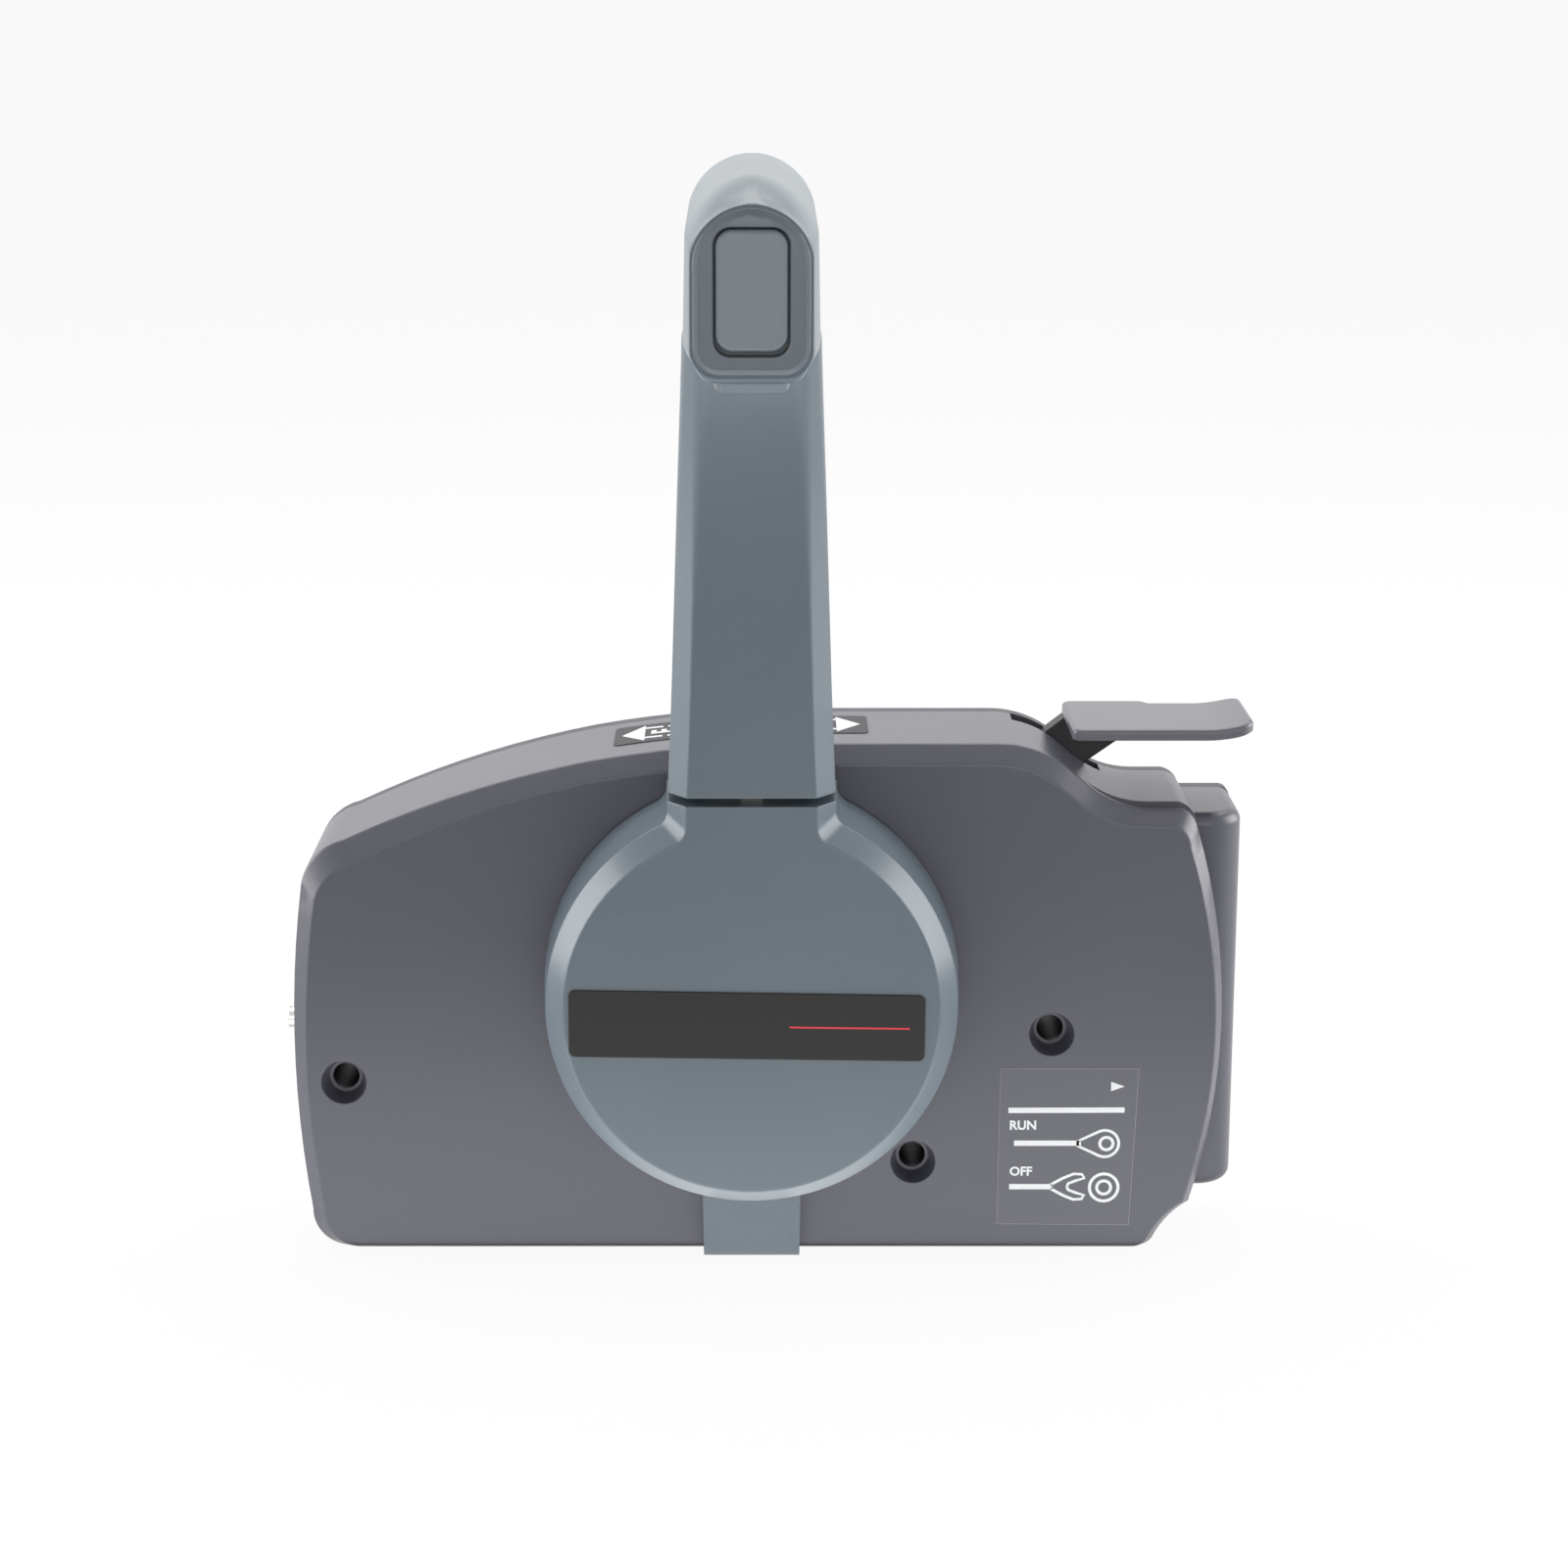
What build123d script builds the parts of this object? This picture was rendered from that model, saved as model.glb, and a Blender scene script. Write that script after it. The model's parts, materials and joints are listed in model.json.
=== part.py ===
from build123d import *
import math
import os

# Side-mount boat control box with its shift and throttle lever.
# X runs aft, Z runs up and Y runs into the bulkhead. The mounting face is Y = 0, and a depth is a distance
# from it towards the operator, so depth 44 is Y = -44. The lever turns about the Y axis, through the origin.

# ---------------------------------------------------------------- driving dimensions, mm
# box, front view
box_top = 57.2
box_bottom = -69.5
nose_x = -111.0            # forward end at its fullest
aft_x = 114.0              # aft edge of the front face at its fullest
shelf_z = 42.2             # low shelf under the neutral throttle lever
shelf_start = 59.2         # where the roof begins to fall to the shelf
slope_deg = 40.4
shelf_crown_r = 25.0
shelf_foot_drop = 5.6
# box, in depth
plate_thick = 4.0
box_depth = 44.0
wall = 3.0
bevel_depth = 4.0
bevel_top = 4.3
bevel_nose = 3.4
bevel_low = 1.0
edge_round = 1.0           # softens the moulded edges of box and hub
ledge_depth = 36.8         # the shelf steps down to its rounded front edge here
ledge_drop = 1.1
# switch housing at the aft end, open aft like a shroud round the switches
block_x = 119.1
block_inner_x = 88.0
block_depth = 33.0
block_top = 38.0
block_bottom = -57.0
block_round = 9.0
block_crown = 3.0          # rounding of its top and bottom edges
block_corner = 2.5         # rounding of its aft corners in the front view
panel_x = 105.5            # panel that carries the switches, sunk in the shroud
# mounting bolts
bolt_places = [(-98.9, -26.2), (72.5, -14.0), (39.3, -46.5)]
bolt_hole_r = 3.2          # clear of an M6 bolt
sleeve_wall = 1.2
funnel_r = 5.5
funnel_depth = 5.5
bolt_post_wall = 2.2
# hub and lever
hub_gap = 1.0              # hub to box face
hub_depth = box_depth + 28.0
hub_bevel = 6.0            # depth of the bevel round the hub's face
hub_r = 48.5
hub_rear_r = hub_r + 1.3
hub_face_r = hub_r - 4.5
neck_half = 19.6
neck_rear_half = neck_half + 0.6
neck_face_half = neck_half - 4.5
neck_blend_r = 4.5
neck_top = hub_r + 1.0
cover_wall = 2.5
cover_post_angles = (30, 150, 270)
cover_post_r = 33.0
cover_screw_r = 1.45
handle_gap = 2.0
arm_back = box_depth + 3.0
arm_rear_r = 4.0
# cast lever under the hub cover
lever_disc_rear = box_depth + 3.6
lever_disc_front = box_depth + 7.2
lever_disc_r = 39.0
boss_front = box_depth + 16.0
boss_r = 13.0
arm_half = 11.0
arm_rear = box_depth + 6.7
arm_front = box_depth + 14.0
arm_top = 112.0
spline_r = 6.0
lever_bolt_r = 3.3
handle_screw_heights = (68.0, 98.0)
handle_screw_r = 1.75
handle_screw_head_r = 3.6
# grip
grip_ridge = 194.5          # at the front; it climbs towards the rear
grip_climb = 1.8
grip_shoulder = 183.2
grip_half = 14.2           # at the shoulder
grip_swell = 1.2           # extra half width of the grip where it meets the arm
grip_under = 153.0
grip_rear = box_depth + 2.5
grip_round = 4.0
grip_corner_r = 3.5
shoulder_r = 6.0
overall_depth = 130.0
grip_front = overall_depth - 6.5
ring_half = 12.2
ring_ridge = 189.5
ring_shoulder = 179.6
ring_low = 155.3
ring_corner_r = 5.6
ring_shoulder_r = 7.5
ring_bevel = 1.2
ring_fullness = 0.76
bezel_rear = overall_depth - 5.5
button_w = 15.1
button_h = 25.0
button_z = 172.8
button_corner = 3.6
switch_rear = overall_depth - 22.0
rocker_pin_depth = overall_depth - 7.0
rocker_pin_r = 1.0
# trigger and lock rod in the grip
trigger_half = 8.0
trigger_front = overall_depth - 7.5
trigger_top = 157.0
trigger_low = 150.6
trigger_travel = 5.0
spring_depth = 75.0
rod_half = 2.5
rod_rear = box_depth + 15.0
rod_front = box_depth + 18.5
lock_plate_r = 36.0
lock_plate_rear = box_depth + 0.1
lock_plate_front = box_depth + 2.4
lock_plate_hole_r = 14.2
lock_foot_half = 3.4
lock_foot_height = 4.6
stake_angles = (30, 150, 270)
stake_circle = 25.0
stake_r = 1.6
# turning parts
shaft_r = 7.0
bush_wall = 3.0
pin_r = 4.0
fit = 0.05                 # running clearance on radius
slip = 0.05                # clearance of pieces that sit in each other
air = 0.4                  # clearance of pieces that pass each other
# gears
gear_module = 2.0
drive_teeth = 18
shift_teeth = 40
throttle_teeth = 24
sector_teeth = 11
backlash = 0.16            # taken off each flank
gear_face = 6.0
shift_gear_depth = 26.2    # rear face of the shift gears
throttle_gear_depth = 13.0
shift_line_deg = 215.0     # direction from shaft to shift pivot
throttle_line_deg = 150.0  # direction from shaft to throttle pivot
shift_arm_r = 26.0
shift_arm_deg = 240.0
throttle_arm_r = 25.0
throttle_arm_deg = 240.0
cable_pin_r = 2.5
# detent
detent_rear = 20.6
detent_front = 25.6
detent_r = 20.0
detent_step = 35.0         # angle from neutral to the ahead and astern notches
roller_r = 4.0
roller_pin_r = 1.5
roller_gap = 0.3
leaf_thick = 0.8
leaf_reach = 27.0          # the leaf's clamp stands this much nearer to the shaft than the shift pivot
# friction adjuster
friction_depth = 22.0
friction_z = -16.4
friction_thread_r = 3.0
push_rod_r = 2.0
shoe_gap = 0.3
guide_x = -68.0
# cables, wires and plate screws
cable_places = [(31.0, -50.0), (16.0, 8.0)]    # depth and height of each outlet
cable_hole_r = 5.5
clamp_x = -89.0
grommet_span = (-78.0, -56.0)
grommet_depth = 18.0
grommet_half = 7.0
harness_r = 4.5
plate_screw_places = [(-96.0, 22.0), (-94.0, -60.5), (38.0, 47.5),
                      (90.0, -60.0), (82.0, 33.5), (12.0, -61.0)]
screw_r = 2.0
screw_head_r = 3.5
post_r = 4.2
# switches
switch_depth = 16.0
key_z = 14.0
key_r = 8.4
key_rotor_r = 5.6
stop_z = -28.0
stop_r = 8.0
stop_stem_r = 5.0
nut_thick = 2.6
nut_rim = 3.0
buzzer_place = (64.0, -42.0)
buzzer_r = 12.0
neutral_switch_x = 25.0
neutral_switch_z = 10.0
# neutral throttle lever
idle_pivot = (70.5, 44.5)
idle_top = 60.0
idle_thick = 2.6
idle_start = 76.8
idle_end = 120.8
idle_bend = 108.6          # where the finger tip begins to curve up
idle_bend_r = 32.0
idle_rear = 4.0
idle_front = 38.0
idle_notch = 2.6           # set-back of the rear edge, aft of idle_notch_x
idle_notch_x = 95.2
idle_corner_r = 4.5
idle_edge_r = 1.0
idle_hub_r = 6.0
idle_boss_r = 4.6
idle_shaft_r = 3.0
idle_web_rear = 4.6
idle_web_front = 10.6
idle_cam_front = 15.8
idle_rivets = (82.0, 92.0)
idle_rivet_depth = 7.6
idle_arm_r = 19.0
idle_arm_deg = 200.0

shift_gap = gear_module * (drive_teeth + shift_teeth) / 2
leaf_end = leaf_reach - shift_gap
throttle_gap = gear_module * (drive_teeth + throttle_teeth) / 2
box_inner = box_depth - wall
front_bush_depth = box_depth - 10.5
shift_collar = front_bush_depth - 0.5 - shift_gear_depth - gear_face
roller_centre = (0.0, -(detent_r + roller_gap + roller_r))
friction_line = (friction_depth, friction_z)


# ---------------------------------------------------------------- helpers
def ahead(depth):
    """Plane facing the operator at a depth; its local x and y are the model's X and Z."""
    return Plane.XZ.offset(depth)


def slab(shape, rear, front):
    """A front-view shape carried from one depth to another."""
    return extrude(ahead(rear) * shape, amount=front - rear)


def rod(x, z, radius, rear, front):
    """A round bar along Y."""
    return slab(Pos(x, z) * Circle(radius), rear, front)


def tube(x, z, outer, inner, rear, front):
    return rod(x, z, outer, rear, front) - rod(x, z, inner, rear - 1, front + 1)


def block(x0, x1, rear, front, z0, z1):
    return Pos((x0 + x1) / 2, -(rear + front) / 2, (z0 + z1) / 2) * Box(x1 - x0, front - rear, z1 - z0)


def cross_rod(x0, x1, depth, z, radius):
    """A round bar along X."""
    return Plane(origin=(x0, -depth, z), z_dir=(1, 0, 0)) * extrude(Circle(radius), amount=x1 - x0)


def rod_up(x, depth, z0, z1, radius):
    """A round bar along Z."""
    return Pos(x, -depth, (z0 + z1) / 2) * Cylinder(radius, z1 - z0)


def polar(radius, degrees, centre=(0, 0)):
    turn = math.radians(degrees)
    return (centre[0] + radius * math.cos(turn), centre[1] + radius * math.sin(turn))


shift_pivot = polar(shift_gap, shift_line_deg)
throttle_pivot = polar(throttle_gap, throttle_line_deg)


# ---------------------------------------------------------------- outlines in the front view
def box_outline(top=0.0, nose=0.0, low=0.0, aft=0.0, drop=0.0):
    """Outline of the box, drawn in at its roof, nose, floor and aft edge, with the shelf dropped."""
    roof, floor, shelf = box_top - top, box_bottom + low, shelf_z - top - drop
    slope = math.radians(slope_deg)
    crown_run, crown_drop = shelf_crown_r * math.sin(slope), shelf_crown_r * (1 - math.cos(slope))
    foot_run = shelf_foot_drop / math.tan(slope / 2)
    fall = box_top - shelf_z + drop - crown_drop - shelf_foot_drop
    start = shelf_start - top * math.tan(slope / 2)
    crown_end = (start + crown_run, roof - crown_drop)
    foot_start = (crown_end[0] + fall / math.tan(slope), roof - crown_drop - fall)
    foot_end = (foot_start[0] + foot_run, shelf)
    nose_low, nose_high = (nose_x + 3.2 + nose, floor + 9.5), (nose_x + 2.8 + nose, roof - 33.7)
    brow, mid_roof, flat_roof = (nose_x + 13 + nose, roof - 23.7), (-38.7, roof - 4.2), (8.0, roof)
    aft_high, aft_low = (aft_x - 7.2 - aft, shelf_z - top - 5.7), (aft_x - 6.8 - aft, floor + 11.5)
    low_end = (aft_low[0] - 12, floor)
    line = [
        ThreePointArc((nose_low[0] + 9.5, floor), (nose_low[0] + 2.6, floor + 2.7), nose_low),
        ThreePointArc(nose_low, (nose_x + nose, (nose_low[1] + nose_high[1]) / 2 + 8), nose_high),
        ThreePointArc(nose_high, (nose_high[0] + 3.4, nose_high[1] + 6.1), brow),
        ThreePointArc(brow, ((brow[0] + mid_roof[0]) / 2 - 1, (brow[1] + mid_roof[1]) / 2 + 1.7), mid_roof),
        TangentArc(flat_roof, mid_roof, tangent=(-1, 0)),
        Line(flat_roof, (start, roof)),
        TangentArc((start, roof), crown_end, tangent=(1, 0)),
        Line(crown_end, foot_start),
        TangentArc(foot_end, foot_start, tangent=(-1, 0)),
        Line(foot_end, (aft_high[0] - 4.6, shelf)),
        ThreePointArc((aft_high[0] - 4.6, shelf), (aft_high[0] - 1.3, shelf - 1.9), aft_high),
        ThreePointArc(aft_high, (aft_x - aft, -14), aft_low),
        ThreePointArc(aft_low, (aft_low[0] - 5.2, aft_low[1] - 4.3), (aft_low[0] - 8.6, floor + 2)),
        ThreePointArc((aft_low[0] - 8.6, floor + 2), (aft_low[0] - 10, floor + 0.6), low_end),
        Line(low_end, (nose_low[0] + 9.5, floor)),
    ]
    return make_face(line)


def hub_outline(radius, half, top, blend):
    """Round hub with a straight neck on top, blended by a concave arc on each side."""
    cx = half + blend
    cz = math.sqrt((radius + blend) ** 2 - cx ** 2)
    touch = (cx * radius / (radius + blend), cz * radius / (radius + blend))
    middle = math.radians((180 + math.degrees(math.atan2(cz, cx)) + 180) / 2)
    inner = (cx + blend * math.cos(middle), cz + blend * math.sin(middle))
    line = [
        ThreePointArc(touch, (0, -radius), (-touch[0], touch[1])),
        ThreePointArc((-touch[0], touch[1]), (-inner[0], inner[1]), (-half, cz)),
        Line((-half, cz), (-half, top)),
        Line((-half, top), (half, top)),
        Line((half, top), (half, cz)),
        ThreePointArc((half, cz), inner, touch),
    ]
    return make_face(line)


def house_outline(half, ridge, shoulder, corner, low, low_half, radii, flare=0.0, fullness=0.66):
    """Section of the grip: arched roof with a soft ridge, sides that may flare, and rounded lower corners."""
    crown = (0.6 * half, shoulder + fullness * (ridge - shoulder))
    tip = 0.08 * half
    line = [
        ThreePointArc((half, shoulder), crown, (tip, ridge)),
        Line((tip, ridge), (-tip, ridge)),
        ThreePointArc((-tip, ridge), (-crown[0], crown[1]), (-half, shoulder)),
        Line((-half, shoulder), (-half - flare, corner)),
        Line((-half - flare, corner), (-low_half, low)),
        Line((-low_half, low), (low_half, low)),
        Line((low_half, low), (half + flare, corner)),
        Line((half + flare, corner), (half, shoulder)),
    ]
    shape = make_face(line)
    for height, radius in ((shoulder, radii[0]), (corner, radii[1]), (low, radii[1])):
        shape = fillet([v for v in shape.vertices() if abs(v.Y - height) < 0.01], radius)
    return shape


def ring_outline(inset):
    """Front outline of the ring round the trim button, drawn in all round."""
    cut = 0.6 * (ring_corner_r - inset)
    half, low = ring_half - inset, ring_low + inset
    radii = (ring_shoulder_r - inset, ring_corner_r - inset)
    return house_outline(half, ring_ridge - 1.2 * inset, ring_shoulder - 0.3 * inset,
                         low + cut, low, half - cut, radii, 0, ring_fullness)


def mix(first, last, share):
    """Number a share of the way between two others."""
    return first + share * (last - first)


# ---------------------------------------------------------------- gears
def involute(base_r, radius):
    """Polar angle, in radians, of the involute of a base circle where it reaches a radius."""
    roll = math.sqrt(max(radius ** 2 / base_r ** 2 - 1, 0))
    return roll - math.atan(roll)


def gear_tooth(teeth):
    """One tooth on the local +x axis, from inside the root circle to the tip."""
    pitch_r = gear_module * teeth / 2
    base_r = pitch_r * math.cos(math.radians(20))
    tip_r, root_r = pitch_r + gear_module * 0.95, pitch_r - gear_module * 1.2
    half_pitch = math.pi / (2 * teeth) - backlash / pitch_r + involute(base_r, pitch_r)
    start_r = max(base_r, root_r)
    flank = [(r, half_pitch - involute(base_r, r)) for r in (start_r, (start_r + tip_r) / 2, tip_r)]
    high = [(r * math.cos(a), r * math.sin(a)) for r, a in flank]
    low = [(x, -y) for x, y in high]
    foot_r = root_r - 0.6
    foot = (foot_r * math.cos(flank[0][1]), foot_r * math.sin(flank[0][1]))
    line = [
        Line((foot[0], -foot[1]), low[0]),
        ThreePointArc(*low),
        ThreePointArc(low[2], (tip_r, 0), high[2]),
        ThreePointArc(high[2], high[1], high[0]),
        Line(high[0], foot),
        Line(foot, (foot[0], -foot[1])),
    ]
    return make_face(line)


def gear_face_shape(teeth, first_deg, count):
    """Root disc with a run of teeth, the first of them centred on first_deg."""
    root_r = gear_module * (teeth / 2 - 1.2)
    shape = Circle(root_r)
    tooth = gear_tooth(teeth)
    for index in range(count):
        shape += Rot(0, 0, first_deg + index * 360 / teeth) * tooth
    return shape


# ---------------------------------------------------------------- box
def solid_box(rear, front, top=0.0, nose=0.0, low=0.0, aft=0.0, drop=0.0):
    return slab(box_outline(top, nose, low, aft, drop), rear, front)


def edges_at(shape, depth, below=1000.0):
    """Edges that lie at one depth, below a height."""
    return [e for e in shape.edges() if abs(e.center().Y + depth) < 0.01 and e.center().Z < below]


def block_side(rear, front):
    """Front view of the aft block, with rounded aft corners."""
    shape = block(block_inner_x, block_x, rear, front, block_bottom, block_top)
    return fillet(shape.edges().filter_by(Axis.Y).sort_by(Axis.X)[-2:], block_corner)


def end_block(rear, inset):
    """The upright block at the aft end, with its outer corners rounded."""
    shape = block(block_inner_x, block_x - inset, rear, block_depth - inset,
                  block_bottom + inset, block_top - inset)
    front_edge = shape.edges().filter_by(Axis.Z).sort_by(Axis.X)[-2:].sort_by(Axis.Y)[0]
    shape = fillet(front_edge, block_round - inset)
    if inset:
        return shape
    rims = [shape.faces().sort_by(Axis.Z)[end] for end in (0, -1)]
    crown = [e for rim in rims for e in rim.edges()
             if block_inner_x + 1 < e.center().X < block_x - 0.1 and e.center().Y < -rear - 1]
    return fillet(crown, block_crown) & block_side(rear - 1, block_depth + 1)


def switch_well():
    """Space inside the shroud: behind the panel's plane it is open aft."""
    room = end_block(plate_thick, wall) & block(panel_x, block_x, 0, block_depth, block_bottom, block_top)
    mouth = block(block_x - wall - 1, block_x + 1, plate_thick, block_depth - block_round,
                  block_bottom + wall, block_top - wall)
    return room + mouth


def box_body():
    """Outside of the box: shelf and roof, the ledge behind the shelf's front edge, and the bevel."""
    bevel_rear = box_depth - bevel_depth
    rim = box_outline(drop=ledge_drop)
    face = box_outline(bevel_top, bevel_nose, bevel_low, bevel_low * 2)
    bevel = loft([ahead(bevel_rear) * rim, ahead(box_depth) * face], ruled=True)
    front = slab(rim, ledge_depth, bevel_rear) + bevel
    high = [e for e in edges_at(front, bevel_rear) if e.center().Z > shelf_z / 2]
    return solid_box(plate_thick, ledge_depth) + fillet(edges_at(front, box_depth) + high, edge_round)


def housing_shell():
    body = box_body() + end_block(plate_thick, 0)
    kept = end_block(0, 0) & block(panel_x - wall, block_x + 1, 0, box_depth, block_bottom, block_top)
    hollow = solid_box(0, box_inner, wall + 0.6, wall + 0.6, wall, wall, ledge_drop) + end_block(0, wall)
    body -= hollow - kept
    body -= switch_well()
    body += housing_posts()
    body -= rod(0, 0, shaft_r + bush_wall + slip, 0, box_depth + 1)
    for x, z in bolt_places:
        body -= rod(x, z, bolt_hole_r + sleeve_wall + slip, 0, box_depth - funnel_depth - 1.5)
        body -= rod(x, z, bolt_hole_r, 0, box_depth)
        funnel = Solid.make_cone(funnel_r, bolt_hole_r + sleeve_wall - 0.4, funnel_depth)
        body -= Plane(origin=(x, -box_depth, z), z_dir=(0, 1, 0)) * funnel
    body -= idle_slot()
    body -= cross_rod(nose_x - 2, nose_x + 12, friction_depth, friction_z, friction_thread_r + slip)
    for depth, z in cable_places:
        body -= cross_rod(nose_x - 2, nose_x + 14, depth, z, cable_hole_r)
    body -= block(*grommet_span, grommet_depth - grommet_half, grommet_depth + grommet_half,
                  box_bottom - 1, box_bottom + wall + 1)
    for z, radius in ((key_z, key_r), (stop_z, stop_r)):
        body -= cross_rod(panel_x - wall - 1, panel_x + 1, switch_depth, z, radius + slip)
    for x, z in plate_screw_places:
        body -= rod(x, z, screw_r - 0.3, 0, plate_thick + 14)
    for angle in stake_angles:
        body += rod(*polar(stake_circle, angle), stake_r, box_depth - 1, lock_plate_front + 0.2)
    return body


def housing_posts():
    """Screw posts, bolt tubes, the shaft boss and the pivot bosses inside the box."""
    posts = rod(0, 0, shaft_r + bush_wall + 3.5, box_depth - 9, box_inner + 0.5)
    for x, z in bolt_places:
        posts += rod(x, z, bolt_hole_r + sleeve_wall + bolt_post_wall, plate_thick, box_inner + 0.5)
    for x, z in plate_screw_places:
        posts += rod(x, z, post_r, plate_thick, box_inner + 0.5)
    for x, z in (shift_pivot, throttle_pivot):
        posts += tube(x, z, pin_r + 2.5, pin_r + slip, box_depth - 9, box_inner + 0.2)
    posts += tube(*idle_pivot, idle_boss_r, idle_shaft_r + slip, idle_cam_front + 0.6, box_inner + 0.2)
    return posts


def idle_slot():
    """Slot through the sloping shoulder, in which the neutral throttle lever swings."""
    return block(64.0, 86.0, plate_thick - 1, idle_web_front + 0.9, 36.0, box_top + 1)


def back_plate():
    plate = solid_box(0, plate_thick - 0.1, 0, 0, 0, 0)
    plate += block_side(0, plate_thick - 0.1)
    plate += tube(0, 0, shaft_r + bush_wall + 3, shaft_r + bush_wall + slip, plate_thick - 1, 11)
    for x, z in (shift_pivot, throttle_pivot):
        plate += rod(x, z, pin_r + 2.5, plate_thick - 1, 10.5)
        plate -= rod(x, z, pin_r + slip, 1.5, 12)
    plate += rod(*buzzer_place, 6.0, plate_thick - 1, 10.9)
    plate += block(neutral_switch_x + 2, neutral_switch_x + 18, plate_thick - 1, 18.9, neutral_switch_z - 4,
                   neutral_switch_z + 4)
    plate -= rod(0, 0, shaft_r + bush_wall + slip, 1.5, 12)
    plate -= rod(*idle_pivot, idle_shaft_r + slip, 1.5, plate_thick + 1)
    for x, z in bolt_places:
        plate -= rod(x, z, bolt_hole_r + sleeve_wall + slip, -1, 12)
    for x, z in plate_screw_places:
        plate -= rod(x, z, screw_r + 0.2, -1, 12)
        plate -= rod(x, z, screw_head_r + 0.3, -1, 2.2)
    return plate


def plate_screws():
    """Pan-head screws, sunk in the plate from behind."""
    screws = []
    for x, z in plate_screw_places:
        head = rod(x, z, screw_head_r, 0.3, 2.2) - block(x - 0.4, x + 0.4, 0.2, 1.2, z - 2.6, z + 2.6)
        screws.append(head + rod(x, z, screw_r - 0.35, 2.0, plate_thick + 12))
    return Compound(children=screws)


def mount_sleeves():
    front = box_depth - funnel_depth - 1.6
    return Compound(children=[tube(x, z, bolt_hole_r + sleeve_wall, bolt_hole_r, 0.1, front)
                              for x, z in bolt_places])


def shaft_bush(rear, front, flange_rear, flange_front):
    bush = tube(0, 0, shaft_r + bush_wall, shaft_r + fit, rear, front)
    return bush + tube(0, 0, shaft_r + bush_wall + 2, shaft_r + fit, flange_rear, flange_front)


def lower_cover():
    """Tab-shaped cover under the hub, with drafted sides and a rounded toe."""
    toe, root = box_bottom + 1.0, -38.0
    side = [(-12.1, root), (12.1, root), (11.6, toe), (-11.6, toe)]
    tab = slab(make_face(Polyline(*side, close=True)), box_depth + 0.05, box_depth + 6.5)
    tab -= rod(0, 0, hub_rear_r - 3, box_depth + 0.9, box_depth + 8)
    tab -= slab(Circle(hub_rear_r + 0.6), box_depth + 0.9, box_depth + 8)
    return fillet(tab.edges().filter_by(Axis.X).sort_by(Axis.Z)[:2].sort_by(Axis.Y)[0], 1.2)


# ---------------------------------------------------------------- hub and lever
def hub_body(inset, rear, front, bevel, top_extra=0.0):
    """Hub form: drafted side, then a bevel up to the flat face."""
    top = neck_top + top_extra
    rear_face = hub_outline(hub_rear_r - inset, neck_rear_half - inset, top, neck_blend_r + inset)
    edge_face = hub_outline(hub_r - inset, neck_half - inset, top, neck_blend_r + inset)
    flat_face = hub_outline(hub_face_r - inset, neck_face_half - inset, top, neck_blend_r + inset)
    side = loft([ahead(rear) * rear_face, ahead(front - bevel) * edge_face], ruled=True)
    body = side + loft([ahead(front - bevel) * edge_face, ahead(front) * flat_face], ruled=True)
    if inset:
        return body
    return fillet(edges_at(body, front, top - 0.5) + edges_at(body, front - bevel), edge_round)


def neck_split(reach):
    """Space behind a curved parting line that climbs from the box face to the front of the neck."""
    start, end = (-box_depth, neck_top - 18.5), (-box_depth - 7.5, neck_top + 3.5)
    line = [
        ThreePointArc(start, (-box_depth - 4.4, neck_top - 9.5), end),
        Line(end, (0, end[1])),
        Line((0, end[1]), (0, start[1])),
        Line((0, start[1]), start),
    ]
    return extrude(Plane.YZ.offset(-reach) * make_face(line), amount=2 * reach)


def hub_cover():
    rear = box_depth + hub_gap
    cover = hub_body(0, rear, hub_depth, hub_bevel)
    cover -= hub_body(cover_wall, rear - 0.01, hub_depth - cover_wall, hub_bevel - 1.0, top_extra=-cover_wall)
    cover -= neck_split(60)
    cover -= arm_window()
    for angle in cover_post_angles:
        x, z = polar(cover_post_r, angle)
        cover += tube(x, z, 3.4, cover_screw_r + slip, lever_disc_front + slip, hub_depth - cover_wall + 0.3)
    return cover


def neck_rear_cover():
    """Rear half of the neck, behind the parting line."""
    rear = box_depth + hub_gap
    shape = hub_body(0, rear, hub_depth, hub_bevel) & (Pos(0, air * 0.25, 0) * neck_split(60))
    hollow = hub_body(cover_wall, rear - 0.01, hub_depth - cover_wall, hub_bevel - 1.0, top_extra=-cover_wall)
    return shape - hollow - arm_window()


def arm_window():
    """Opening in the top of the neck, through which the arm and the lock rod pass."""
    return block(-arm_half - air, arm_half + air, arm_rear - air, rod_front + air, neck_top - 6, neck_top + 1)


def lever_arm():
    """Cast lever: a disc and boss round the shaft, and an arm that the handle is moulded over."""
    arm = tube(0, 0, lever_disc_r, spline_r + slip, lever_disc_rear, lever_disc_front)
    arm += tube(0, 0, boss_r, spline_r + slip, box_depth + 1.6, boss_front)
    side = Pos(0, arm_top / 2) * Rectangle(2 * arm_half, arm_top)
    arm += slab(side, arm_rear, arm_front) - rod(0, 0, boss_r - 1, 0, hub_depth)
    arm -= block(-4, 4, lever_disc_rear - 1, rod_front, lock_plate_r - 4.5, neck_top - 1)
    for angle in cover_post_angles:
        x, z = polar(cover_post_r, angle)
        arm -= rod(x, z, cover_screw_r + 0.35, lever_disc_rear - 1, arm_front)
    for z in handle_screw_heights:
        arm -= rod(0, z, handle_screw_r + slip, arm_rear - 1, arm_front + 1)
    return arm


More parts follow.
